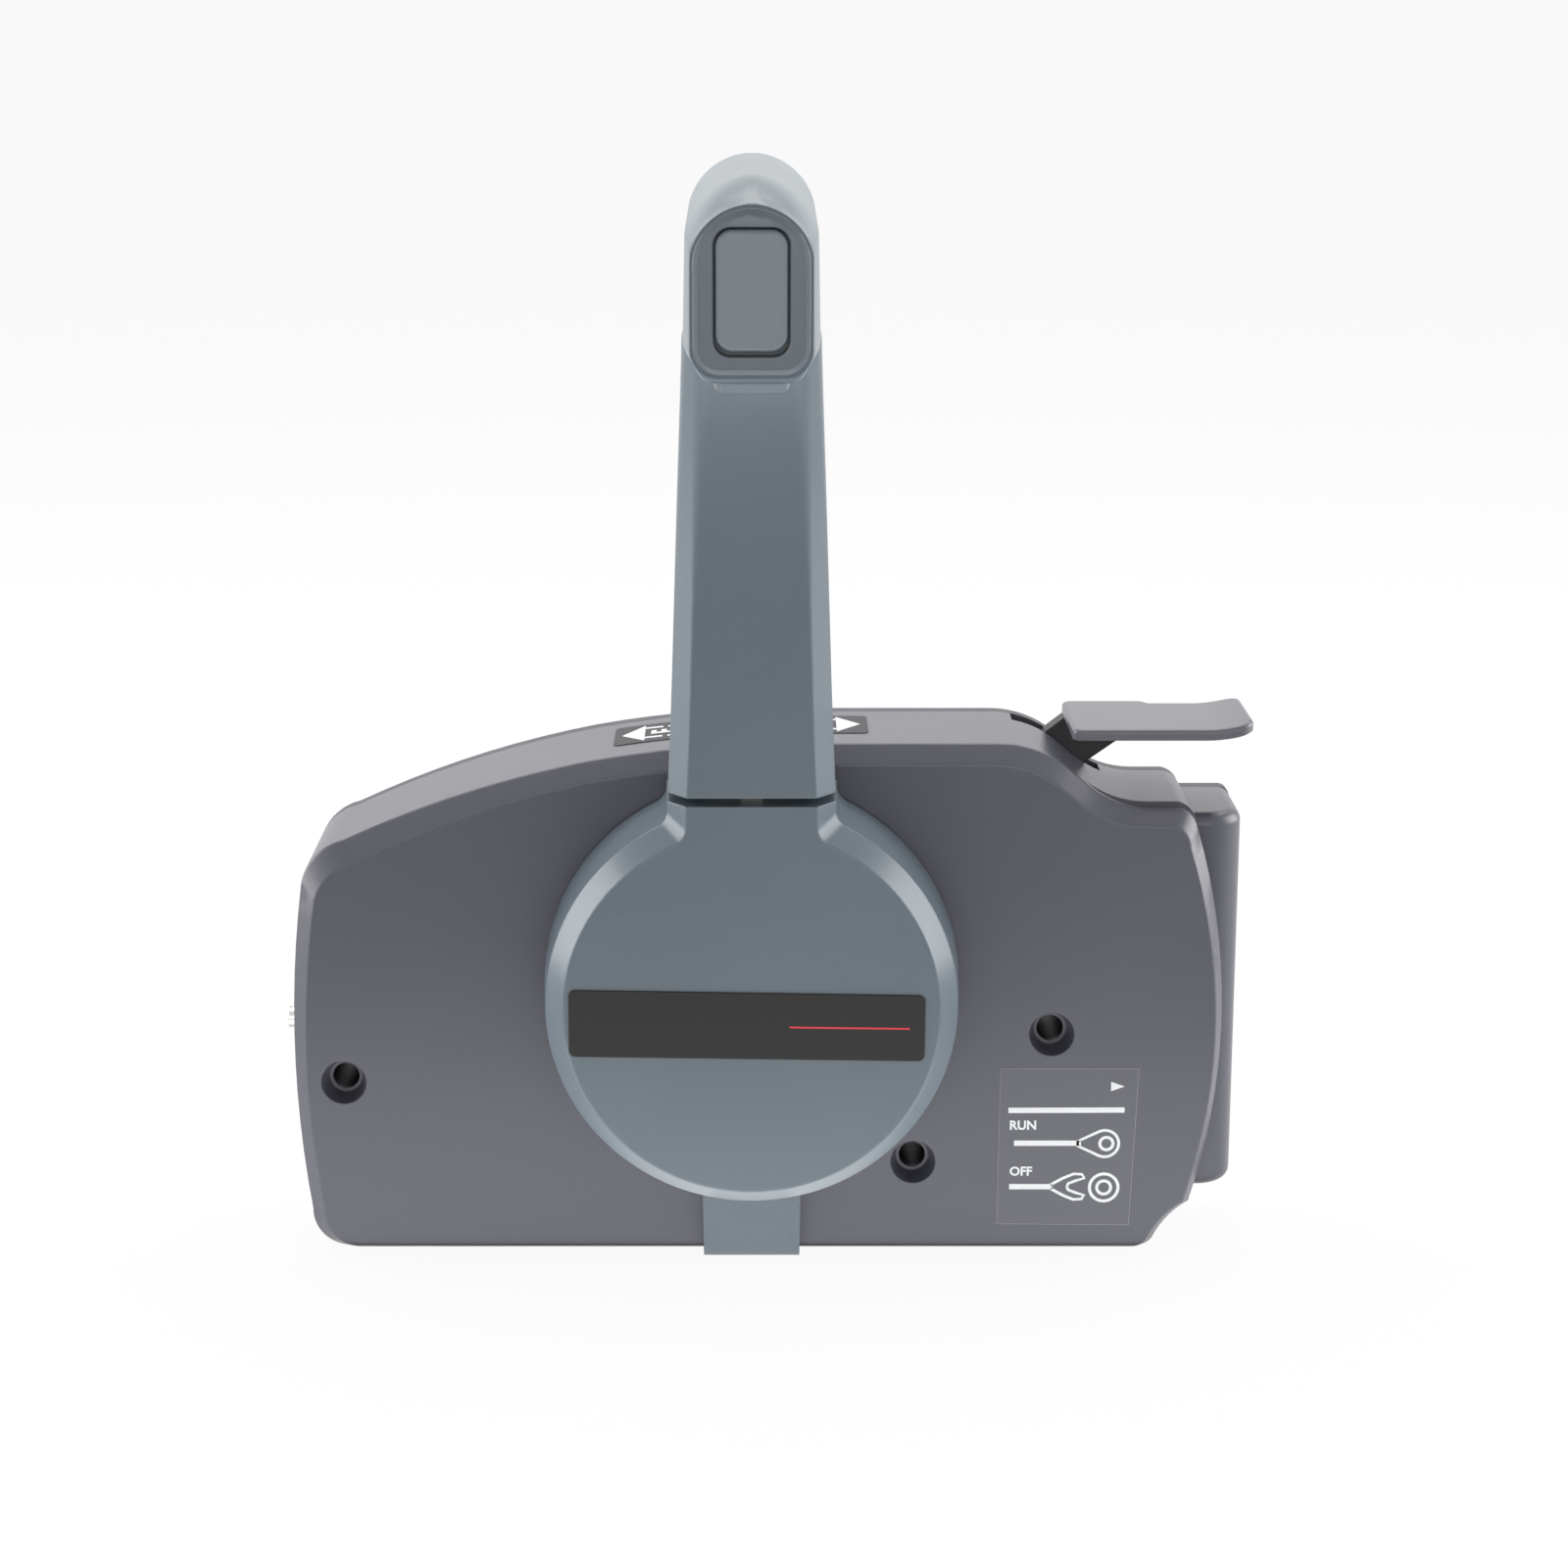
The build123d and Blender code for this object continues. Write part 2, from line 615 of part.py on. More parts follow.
def handle_section(z, rear, front, half, face_half, bevel, soft):
    """Level section of the handle: flat front, bevelled front corners and rounded-off rear corners."""
    corners = [(-half, -rear), (-half, -front + bevel), (-face_half, -front),
               (face_half, -front), (half, -front + bevel), (half, -rear)]
    shape = make_face(Polyline(*corners, close=True))
    shape = fillet([v for v in shape.vertices() if v.Y > -rear - 0.1], arm_rear_r)
    shape = fillet([v for v in shape.vertices() if v.Y < -rear - arm_rear_r - 1], soft)
    return Pos(0, 0, z) * shape


def grip_rear_outline(inset):
    """Grip section at its inboard end, drawn in all round."""
    shoulder = grip_shoulder + 0.8 * grip_climb - 0.4 * inset
    corner, low_half = grip_under + 6 + 0.4 * inset, 9.5 - 0.4 * inset
    return house_outline(grip_half + 0.1 - inset, grip_ridge + grip_climb - inset, shoulder, corner,
                         grip_under + inset, low_half, (shoulder_r, grip_corner_r), grip_swell - 0.1, 0.76)


def hood_outline(share):
    """Grip section on its way from full size to the size of the ring at its front end."""
    corner = mix(grip_under + 6, ring_low + 0.6 * ring_corner_r - 0.6, share)
    low_half = mix(9.5, ring_half + 0.6 - 0.6 * ring_corner_r, share)
    half, low = mix(grip_half, ring_half + 0.6, share), mix(grip_under, ring_low - 0.6, share)
    ridge, shoulder = mix(grip_ridge, ring_ridge + 0.6, share), mix(grip_shoulder, ring_shoulder, share)
    radii = (mix(shoulder_r, ring_shoulder_r, share), mix(grip_corner_r, ring_corner_r, share))
    return house_outline(half, ridge, shoulder, corner, low, low_half, radii,
                         mix(0.3, 0, share), mix(0.66, ring_fullness, share))


def handle():
    """Arm and grip in one moulding: the arm leans out as it climbs, and the grip lies across its top."""
    foot = neck_top + handle_gap
    arm = loft([handle_section(foot, arm_back, hub_depth, 19.5, 14.9, 5.9, 0.8),
                handle_section(85, arm_back - 0.1, hub_depth + 0.6, 18.1, 13.6, 5.9, 1.2),
                handle_section(115, arm_back - 0.3, hub_depth + 3.5, 17.1, 12.6, 5.9, 3.0),
                handle_section(138, arm_back - 0.4, hub_depth + 10, 16.2, 11.6, 6.0, 5.0),
                handle_section(grip_under + 6, arm_back - 0.5, hub_depth + 24, 15.3, 10.6, 6.0, 6.0)])
    bar = [ahead(grip_rear + grip_round) * grip_rear_outline(0), ahead(grip_front) * hood_outline(0)]
    tail = [ahead(grip_rear + grip_round * (1 - math.sin(math.radians(turn))))
            * grip_rear_outline(grip_round * (1 - math.cos(math.radians(turn)))) for turn in (90, 60, 30, 0)]
    hood_reach = overall_depth - 2.2 - grip_front
    hood = [ahead(grip_front + hood_reach * math.sin(math.radians(turn)))
            * hood_outline(1 - math.cos(math.radians(turn))) for turn in (0, 35, 65, 90)]
    body = arm + loft(bar, ruled=True) + loft(tail, ruled=True) + loft(hood, ruled=True)
    socket = Pos(0, arm_top / 2 + slip) * Rectangle(2 * arm_half + 2 * slip, arm_top)
    body -= slab(socket, arm_rear - slip, arm_front + slip)
    body -= block(-rod_half - air, rod_half + air, rod_rear - air, rod_front + air, foot - 1, trigger_top - 1)
    body -= block(-trigger_half - air, trigger_half + air, rod_rear - air, trigger_front + air,
                  trigger_low - air, trigger_top + trigger_travel + air)
    body -= slab(ring_outline(1.5 - slip), bezel_rear, overall_depth)
    body -= slab(Pos(0, button_z) * Rectangle(13.2, 21.2), switch_rear, bezel_rear + 1)
    for z in handle_screw_heights:
        body -= rod(0, z, handle_screw_r + slip, arm_back - 4, arm_rear)
        body -= rod(0, z, handle_screw_head_r + 0.2, arm_back - 4, arm_back + 1.9)
    return body


def grip_bezel():
    """Dark ring round the trim button, with a bevelled front edge."""
    flange_rear = overall_depth - 2.1
    bevel_rear = overall_depth - ring_bevel
    bezel = slab(ring_outline(0), flange_rear, bevel_rear)
    face = ahead(overall_depth - 0.3) * ring_outline(ring_bevel)
    bezel += loft([ahead(bevel_rear) * ring_outline(0), face], ruled=True)
    bezel += slab(ring_outline(1.5), bezel_rear + slip, flange_rear)
    opening = RectangleRounded(button_w + 2 * air, button_h + 2 * air + 0.8, button_corner)
    return bezel - slab(Pos(0, button_z - 0.4) * opening, bezel_rear - 1, overall_depth + 1)


def trim_button():
    """Rocker cap with a soft edge; it tips about a cross pin in the switch behind it."""
    cap_rear = overall_depth - 3.8
    outline = Pos(0, button_z) * RectangleRounded(button_w, button_h, button_corner)
    cap = slab(outline, cap_rear, overall_depth)
    cap = fillet(cap.faces().sort_by(Axis.Y)[0].edges(), 1.2)
    ear = block(-2.6, 2.6, rocker_pin_depth - 2.2, cap_rear + 0.2, button_z - 2.4, button_z + 2.4)
    return cap + ear - cross_rod(-4, 4, rocker_pin_depth, button_z, rocker_pin_r + fit)


def trim_switch():
    """Switch body under the button, with the fork and the pin that carry it."""
    front = rocker_pin_depth - 3.5
    fork_tip = rocker_pin_depth + 1.6
    body = block(-6.4, 6.4, switch_rear + 0.1, front, button_z - 10.4, button_z + 10.4)
    for side in (-4.6, 4.6):
        body += block(side - 1.4, side + 1.4, front - 0.5, fork_tip, button_z - 2.6, button_z + 2.6)
    body += cross_rod(-4.0, 4.0, rocker_pin_depth, button_z, rocker_pin_r)
    for z in (button_z - 6, button_z + 6):
        body += rod(0, z, 1.6, front - 0.5, front + 3.1)
    return body


def neutral_trigger():
    """Finger bar in the underside of the grip, joined to the top of the lock rod."""
    neck = trigger_top - 6
    tip = (-trigger_front, trigger_low + 2.2)
    side = [(-rod_rear, trigger_top), (-rod_rear, neck), (-rod_rear - 25, neck),
            (-rod_rear - 33, trigger_low), (-trigger_front + 2.2, trigger_low), tip,
            (-trigger_front, trigger_top)]
    profile = make_face(Polyline(*side, close=True))
    bar = extrude(Plane.YZ.offset(-trigger_half) * profile, amount=2 * trigger_half)
    lower = [e for e in bar.edges() if e.center().Z < tip[1] + 0.2 and abs(e.center().X) > trigger_half - 0.1]
    return fillet(lower, 2.0)


def lock_rod():
    """Flat rod from the trigger down to the hub, ending in the foot that drops into the neutral notch."""
    low = lock_plate_r + air
    foot_top = low + lock_foot_height
    bar = block(-rod_half, rod_half, rod_rear, rod_front, low, trigger_top - 6.1)
    return bar + block(-lock_foot_half, lock_foot_half, lock_plate_rear + 0.2, rod_front, low, foot_top)


def neutral_lock_plate():
    """Fixed plate behind the hub, with the notch that holds the lever in neutral."""
    plate = tube(0, 0, lock_plate_r, lock_plate_hole_r, lock_plate_rear, lock_plate_front)
    plate -= block(-lock_foot_half - air, lock_foot_half + air, box_depth, box_depth + 5,
                   lock_plate_r - lock_foot_height, lock_plate_r + 1)
    for angle in stake_angles:
        plate -= rod(*polar(stake_circle, angle), stake_r + slip, box_depth, box_depth + 5)
    return plate


def trigger_spring():
    """Return spring of the trigger, in the pocket above it."""
    low, high, wire_r = trigger_top + slip, trigger_top + trigger_travel + air - slip, 0.4
    rise = high - low - 2 * wire_r - 2 * slip
    path = Helix(pitch=rise / 3, height=rise, radius=2.6, center=(0, -spring_depth, low + wire_r + slip))
    return sweep(Plane(origin=path @ 0, z_dir=path % 0) * Circle(wire_r), path=path)


def control_shaft():
    shaft = rod(0, 0, shaft_r, 1.7, box_depth + 1.4)
    shaft += rod(0, 0, spline_r, box_depth + 1.4, boss_front - air)
    shaft = chamfer(shaft.edges().sort_by(Axis.Y)[-1], 0.8)
    return shaft - rod(0, 0, lever_bolt_r + 0.1, box_depth + 2, boss_front + 1)


def lever_bolt():
    head = slab(RegularPolygon(7.0, 6), boss_front + 2.0, boss_front + 7.0)
    return head + rod(0, 0, lever_bolt_r, box_depth + 2.2, boss_front + 2.1)


def lever_washer():
    return tube(0, 0, 9.5, lever_bolt_r + slip + 0.1, boss_front + slip, boss_front + 2.0 - slip)


def handle_screws():
    screws = []
    for z in handle_screw_heights:
        screw = rod(0, z, handle_screw_head_r, arm_back, arm_back + 1.85)
        screws.append(screw + rod(0, z, handle_screw_r, arm_back + 1.8, arm_front))
    return Compound(children=screws)


def cover_screws():
    screws = []
    for angle in cover_post_angles:
        x, z = polar(cover_post_r, angle)
        screw = rod(x, z, cover_screw_r, lever_disc_rear - 0.2, lever_disc_front + 8.8)
        screws.append(screw + rod(x, z, 2.8, lever_disc_rear - 1.1, lever_disc_rear - slip))
    return Compound(children=screws)


# ---------------------------------------------------------------- mechanism in the box
def wedge(from_deg, to_deg):
    """Wide triangle-fan that keeps one stretch of a gear."""
    middle = (from_deg + to_deg) / 2
    return make_face(Polyline((0, 0), polar(90, from_deg), polar(130, middle), polar(90, to_deg), close=True))


def drive_gear(rear, mesh_deg, front_collar):
    """Full gear on the control shaft, with a tooth on the line to the gear that it drives."""
    gear = slab(gear_face_shape(drive_teeth, mesh_deg, drive_teeth), rear, rear + gear_face)
    gear += rod(0, 0, shaft_r + 3.5, rear - 0.5, rear + gear_face + front_collar)
    return gear - rod(0, 0, shaft_r + slip, rear - 1, rear + gear_face + front_collar + 1)


def toothed_arm(teeth, pivot, mesh_deg, arm_deg, arm_r, rear):
    """Gear sector and cable arm in one piece, turning on a fixed pin."""
    pitch = 360 / teeth
    middle = mesh_deg + pitch / 2
    first = middle - pitch * (sector_teeth // 2)
    root_r = gear_module * (teeth / 2 - 1.2)
    reach = pitch * (sector_teeth / 2)
    shape = gear_face_shape(teeth, first, sector_teeth) & wedge(middle - reach, middle + reach)
    window = (Circle(root_r - 5) - Circle(12.5)) & wedge(middle - 0.68 * reach, middle + 0.68 * reach)
    shape -= window - Rot(0, 0, middle) * Pos(root_r / 2) * Rectangle(root_r, 5)
    bar = Pos(arm_r / 2) * Rectangle(arm_r, 8) + Pos(arm_r) * Circle(5.0)
    shape += Circle(9.5) + Rot(0, 0, arm_deg) * bar
    arm = slab(Pos(*pivot) * shape, rear, rear + gear_face)
    arm += rod(*pivot, 8.0, rear - 1.0, rear + gear_face + 1.0) - rod(*pivot, 6.5, rear, rear + gear_face)
    eye = rod(*polar(arm_r, arm_deg, pivot), cable_pin_r + slip, rear - 1, rear + gear_face + 1)
    return arm - rod(*pivot, pin_r + fit, rear - 2, rear + gear_face + 2) - eye


def cable_pin(pivot, arm_deg, arm_r, rear, side):
    """Headed pin at the end of a cable arm; the cable's clevis goes on its long end."""
    x, z = polar(arm_r, arm_deg, pivot)
    front = rear + gear_face
    if side > 0:
        return rod(x, z, cable_pin_r, rear - slip, front + 6) + rod(x, z, 4.0, rear - 1.6, rear - slip)
    return rod(x, z, cable_pin_r, rear - 6, front + slip) + rod(x, z, 4.0, front + slip, front + 1.6)


def pivot_pin(pivot):
    return rod(*pivot, pin_r, 1.6, box_inner - 0.1)


def pivot_collar(pivot, rear, front):
    """Plain collars that keep a sector in its layer on the pin."""
    return tube(*pivot, pin_r + 2, pin_r + slip, rear, front)


def detent_wheel():
    """Wheel on the shaft with a notch for ahead, neutral and astern."""
    wheel = tube(0, 0, detent_r, shaft_r + slip, detent_rear, detent_front)
    for turn in (-detent_step, 0, detent_step):
        wheel -= rod(*polar(detent_r + 3.0, 270 + turn), roller_r + 0.6, detent_rear - 1, detent_front + 1)
    for angle in (60, 120, 0, 180):
        wheel -= rod(*polar(0.66 * detent_r, angle), 3.0, detent_rear - 1, detent_front + 1)
    return wheel


def detent_roller():
    return tube(*roller_centre, roller_r, roller_pin_r + fit, detent_rear + 0.8, detent_front - 0.8)


def detent_spring():
    """Leaf spring with two ears that carry the roller's pin."""
    x, z = roller_centre
    leaf = block(leaf_end, x + 3.5, detent_rear, detent_front, z - 6.4, z - 6.4 + leaf_thick)
    for rear in (detent_rear, detent_front - 0.6):
        leaf += block(x - 2.5, x + 2.5, rear, rear + 0.6, z - 6.0, z + 1.5)
    return leaf + rod(x, z, roller_pin_r, detent_rear + 0.1, detent_front - 0.1)


def detent_bracket():
    """Post on the back plate that clamps the leaf spring."""
    z, back, tip = roller_centre[1], leaf_end - 3, leaf_end + 5
    post = block(back, tip + 1, plate_thick, detent_front + 0.5, z - 13, z - 6.4 - slip)
    post += block(back, leaf_end - 0.1, detent_rear - 0.5, detent_front + 0.5, z - 7, z - 2.6)
    return post + block(back, tip, detent_rear - 0.5, detent_front + 0.5, z - 5.6 + slip, z - 2.6)


def friction_screw():
    """Adjusting screw that stands out of the nose: stepped head with a slot, and a threaded shank."""
    head = cross_rod(nose_x - 3.6, nose_x - 1.2, *friction_line, 2.6)
    head += cross_rod(nose_x - 1.4, nose_x + 9, *friction_line, friction_thread_r)
    head += cross_rod(nose_x + 8.9, nose_x + 18, *friction_line, 2.2)
    return head - block(nose_x - 4, nose_x - 2.8, friction_depth - 0.5, friction_depth + 0.5, friction_z - 4,
                        friction_z + 4)


def friction_spring():
    start, end, wire_r = nose_x + 18.0, nose_x + 30.0, 0.5
    path = Helix(pitch=2.6, height=end - start - 1.3, radius=2.6, direction=(1, 0, 0),
                 center=(start + 0.65, -friction_depth, friction_z))
    return sweep(Plane(origin=path @ 0, z_dir=path % 0) * Circle(wire_r), path=path)


def friction_pusher():
    """Push rod with the shoe that rubs on the detent wheel."""
    start, shoe_start = nose_x + 30.1, -detent_r - 6
    push = cross_rod(start, start + 2.0, *friction_line, 3.6)
    push += cross_rod(start + 1.9, shoe_start + 1, *friction_line, push_rod_r)
    push += cross_rod(start - 8, start + 0.1, *friction_line, push_rod_r - 0.3)
    shoe = block(shoe_start, -8, detent_rear, detent_front, friction_z - 5.5, friction_z + 6.0)
    return push + shoe - rod(0, 0, detent_r + shoe_gap, detent_rear - 1, detent_front + 1)


def friction_guide():
    guide = block(guide_x - 4, guide_x + 4, plate_thick, friction_depth + 4.5, friction_z - 4, friction_z + 4)
    return guide - cross_rod(guide_x - 5, guide_x + 5, *friction_line, push_rod_r + slip)


def neutral_switch():
    x, z = neutral_switch_x, neutral_switch_z
    body = block(x, x + 20, 19.0, 27.0, z - 5.2, z + 5.2) - cross_rod(x - 1, x + 2.2, 23.0, z, 1.2 + fit)
    for side in (-3, 3):
        body += block(x + 19.9, x + 25, 22.0, 24.0, z + side - 0.4, z + side + 0.4)
    return body


def neutral_switch_plunger():
    x = neutral_switch_x
    return cross_rod(x - 5.4, x + 1.2, 23.0, neutral_switch_z, 1.2)


# ---------------------------------------------------------------- neutral throttle lever
def idle_lever():
    """Finger plate over the low shelf: flat, with a tip that curves up."""
    low = idle_top - idle_thick
    turn = math.asin((idle_end - idle_bend) / idle_bend_r)
    centre_z = idle_top + idle_bend_r

    def on_bend(radius, share):
        return (idle_bend + radius * math.sin(share * turn), centre_z - radius * math.cos(share * turn))

    under = idle_bend_r + idle_thick
    line = [
        Line((idle_start, idle_top), (idle_bend, idle_top)),
        ThreePointArc((idle_bend, idle_top), on_bend(idle_bend_r, 0.5), on_bend(idle_bend_r, 1)),
        Line(on_bend(idle_bend_r, 1), on_bend(under, 1)),
        ThreePointArc(on_bend(under, 1), on_bend(under, 0.5), (idle_bend, low)),
        Line((idle_bend, low), (idle_start, low)),
        Line((idle_start, low), (idle_start, idle_top)),
    ]
    plate = slab(make_face(line), idle_rear, idle_front) & idle_plan()
    above = [e for e in plate.edges() if e.center().Y < -idle_front + 2 and e.center().Z > idle_top - 0.1]
    plate = fillet(above, idle_edge_r)
    for x in idle_rivets:
        plate += rod_up(x, idle_rivet_depth, low - 3.0, low + 0.1, 1.2)
    return plate


def idle_plan():
    """Plan of the plate carried through all heights: rounded corners, and a set-back in the rear edge."""
    rear, set_back = idle_rear, idle_rear + idle_notch
    end = idle_end - 0.6
    corners = [(idle_start, -rear), (idle_notch_x, -rear), (idle_notch_x + 2, -set_back), (end, -set_back),
               (end, -idle_front), (idle_start, -idle_front)]
    plan = extrude(Pos(0, 0, shelf_z) * make_face(Polyline(*corners, close=True)), amount=50)
    upright = plan.edges().filter_by(Axis.Z)
    plan = fillet([e for e in upright if e.center().X > end - 0.1], idle_corner_r)
    upright = plan.edges().filter_by(Axis.Z)
    return fillet([e for e in upright if e.center().X < idle_start + 0.1], idle_corner_r / 2)


def idle_shaft():
    return rod(*idle_pivot, idle_shaft_r, 1.6, box_inner - air)


def idle_cam():
    """Bracket of the neutral throttle lever: a web under its plate, and an inner arm for a linkage."""
    px, pz = idle_pivot
    top = idle_top - idle_thick - slip
    web = [(px + 4.0, pz - 4.2), (px + 28.0, top), (idle_start + 0.5, top), (px - 4.5, pz + 4.0)]
    bracket = slab(make_face(Polyline(*web, close=True)), idle_web_rear, idle_web_front)
    bracket += rod(px, pz, idle_hub_r, idle_web_rear, idle_web_front)
    end = polar(idle_arm_r, idle_arm_deg, idle_pivot)
    bar = Rot(0, 0, idle_arm_deg) * Pos(idle_arm_r / 2) * Rectangle(idle_arm_r, 6)
    bracket += slab(Pos(px, pz) * (Circle(idle_boss_r) + bar), idle_web_front - 0.1, idle_cam_front)
    bracket += rod(*end, 3.4, idle_web_front + 0.3, idle_cam_front)
    for x in idle_rivets:
        bracket -= rod_up(x, idle_rivet_depth, top - 3.2, top + 1, 1.2 + slip)
    return bracket - rod(px, pz, idle_shaft_r + slip, 0, box_depth) - rod(*end, 1.6, 0, box_depth)


# ---------------------------------------------------------------- switches and small parts
def panel_switch(z, radius, length):
    """Cylindrical switch body behind the panel, with its collar and terminals."""
    inner = panel_x - wall
    body = cross_rod(inner - length, inner - 0.1, switch_depth, z, radius + 0.8)
    body += cross_rod(inner - 0.2, panel_x + nut_thick + 0.4, switch_depth, z, radius)
    end = inner - length
    for depth in (switch_depth - 4, switch_depth, switch_depth + 4):
        body += block(end - 7, end + 0.1, depth - 0.4, depth + 0.4, z - 2.5, z + 2.5)
    return body


def key_switch():
    bore = cross_rod(panel_x - 6, panel_x + 4, switch_depth, key_z, key_rotor_r + fit)
    return panel_switch(key_z, key_r, 30) - bore


def key_rotor():
    rotor = cross_rod(panel_x - 5.8, panel_x + nut_thick + 0.8, switch_depth, key_z, key_rotor_r)
    near, far = switch_depth - 0.9, switch_depth + 0.9
    return rotor - block(panel_x - 4, panel_x + 4, near, far, key_z - 3.8, key_z + 3.8)


def ring_nut(z, radius):
    """Bezel nut over a switch, with grip flats round it."""
    ring = Plane(origin=(panel_x + slip, -switch_depth, z), z_dir=(1, 0, 0))
    nut = ring * extrude(RegularPolygon(radius + nut_rim, 12), amount=nut_thick)
    return nut - cross_rod(panel_x - 1, panel_x + 5, switch_depth, z, radius + slip)


def stop_switch():
    bore = cross_rod(panel_x - 8, panel_x + 4, switch_depth, stop_z, stop_stem_r + fit)
    return panel_switch(stop_z, stop_r, 20) - bore


def stop_button():
    """Red button with the waist that a lanyard clip holds."""
    button = cross_rod(panel_x - 4.5, panel_x + 8.6, switch_depth, stop_z, stop_stem_r)
    head = cross_rod(panel_x + 8.5, panel_x + 12.2, switch_depth, stop_z, stop_stem_r + 2.2)
    return button + fillet(head.edges().sort_by(Axis.X)[-1], 1.2)


def warning_buzzer():
    buzzer = rod(*buzzer_place, buzzer_r, 11.0, 24.0)
    buzzer = fillet(buzzer.edges().sort_by(Axis.Y)[0], 1.5)
    return buzzer - rod(*buzzer_place, 2.0, 20, 30)


def harness_grommet():
    """Rubber plug in the floor of the box, with a groove that holds it and a hole for the wires."""
    x0, x1 = grommet_span
    near, far, rim = grommet_depth - grommet_half, grommet_depth + grommet_half, 1.6
    low, high = box_bottom, box_bottom + wall
    plug = block(x0 + slip, x1 - slip, near + slip, far - slip, low - rim, high + rim)
    flange = block(x0 - rim, x1 + rim, near - rim, far + rim, low - rim, high + rim)
    flange -= block(x0 - 2 * rim, x1 + 2 * rim, near - 2 * rim, far + 2 * rim, low - slip, high + slip)
    return plug + flange - Pos((x0 + x1) / 2, -grommet_depth, low) * Cylinder(harness_r, 20)


def cable_clamp():
    """Saddle block on the back plate that anchors both cable casings."""
    clamps = []
    for depth, z in cable_places:
        saddle = block(clamp_x, clamp_x + 9, plate_thick, depth + 4.8, z - 8, z + 8)
        saddle -= cross_rod(clamp_x - 1, clamp_x + 10, depth, z, 4.0)
        saddle -= block(clamp_x - 1, clamp_x + 10, depth, depth + 5, z - 4, z + 4)
        clamps.append(saddle)
    return Compound(children=clamps)


def sub_parts():
    """Every node of the assembly, by name."""
    mesh_shift, mesh_throttle = shift_line_deg - 180, throttle_line_deg - 180
    shift_rear, throttle_rear = shift_gear_depth, throttle_gear_depth
    return {
        "housing_shell": housing_shell(),
        "back_plate": back_plate(),
        "back_plate_screws": plate_screws(),
        "mount_sleeves": mount_sleeves(),
        "lower_cover": lower_cover(),
        "shaft_bush_front": shaft_bush(front_bush_depth, box_depth - 0.2, front_bush_depth, box_depth - 9.05),
        "shaft_bush_rear": shaft_bush(1.6, 12.3, 11.05, 12.3),
        "neutral_lock_plate": neutral_lock_plate(),
        "control_shaft": control_shaft(),
        "lever_arm": lever_arm(),
        "lever_bolt": lever_bolt(),
        "lever_washer": lever_washer(),
        "hub_cover": hub_cover(),
        "hub_cover_screws": cover_screws(),
        "neck_rear_cover": neck_rear_cover(),
        "handle": handle(),
        "handle_screws": handle_screws(),
        "grip_bezel": grip_bezel(),
        "trim_switch": trim_switch(),
        "trim_button": trim_button(),
        "neutral_trigger": neutral_trigger(),
        "lock_rod": lock_rod(),
        "trigger_spring": trigger_spring(),
        "throttle_drive_gear": drive_gear(throttle_rear, throttle_line_deg, 1.5),
        "detent_wheel": detent_wheel(),
        "shift_drive_gear": drive_gear(shift_rear, shift_line_deg, shift_collar),
        "shift_arm": toothed_arm(shift_teeth, shift_pivot, mesh_shift, shift_arm_deg,
                                 shift_arm_r, shift_rear),
        "shift_cable_pin": cable_pin(shift_pivot, shift_arm_deg, shift_arm_r, shift_rear, 1),
        "shift_pivot_pin": pivot_pin(shift_pivot),
        "shift_pivot_collar": pivot_collar(shift_pivot, 10.6, shift_rear - 1.1),
        "throttle_arm": toothed_arm(throttle_teeth, throttle_pivot, mesh_throttle, throttle_arm_deg,
                                    throttle_arm_r, throttle_rear),
        "throttle_cable_pin": cable_pin(throttle_pivot, throttle_arm_deg, throttle_arm_r, throttle_rear, -1),
        "throttle_pivot_pin": pivot_pin(throttle_pivot),
        "throttle_pivot_collar": pivot_collar(throttle_pivot, throttle_rear + gear_face + 1.1,
                                              box_inner - 6.1),
        "detent_roller": detent_roller(),
        "detent_spring": detent_spring(),
        "detent_bracket": detent_bracket(),
        "friction_screw": friction_screw(),
        "friction_spring": friction_spring(),
        "friction_pusher": friction_pusher(),
        "friction_guide": friction_guide(),
        "neutral_switch": neutral_switch(),
        "neutral_switch_plunger": neutral_switch_plunger(),
        "idle_lever": idle_lever(),
        "idle_shaft": idle_shaft(),
        "idle_cam": idle_cam(),
        "key_switch": key_switch(),
        "key_switch_nut": ring_nut(key_z, key_r),
        "key_rotor": key_rotor(),
        "stop_switch": stop_switch(),
        "stop_switch_nut": ring_nut(stop_z, stop_r),
        "stop_button": stop_button(),
        "warning_buzzer": warning_buzzer(),
        "harness_grommet": harness_grommet(),
        "cable_clamps": cable_clamp(),
    }


os.makedirs("parts", exist_ok=True)
for node, shape in sub_parts().items():
    export_step(shape, f"parts/{node}.step")
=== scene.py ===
import json
import math

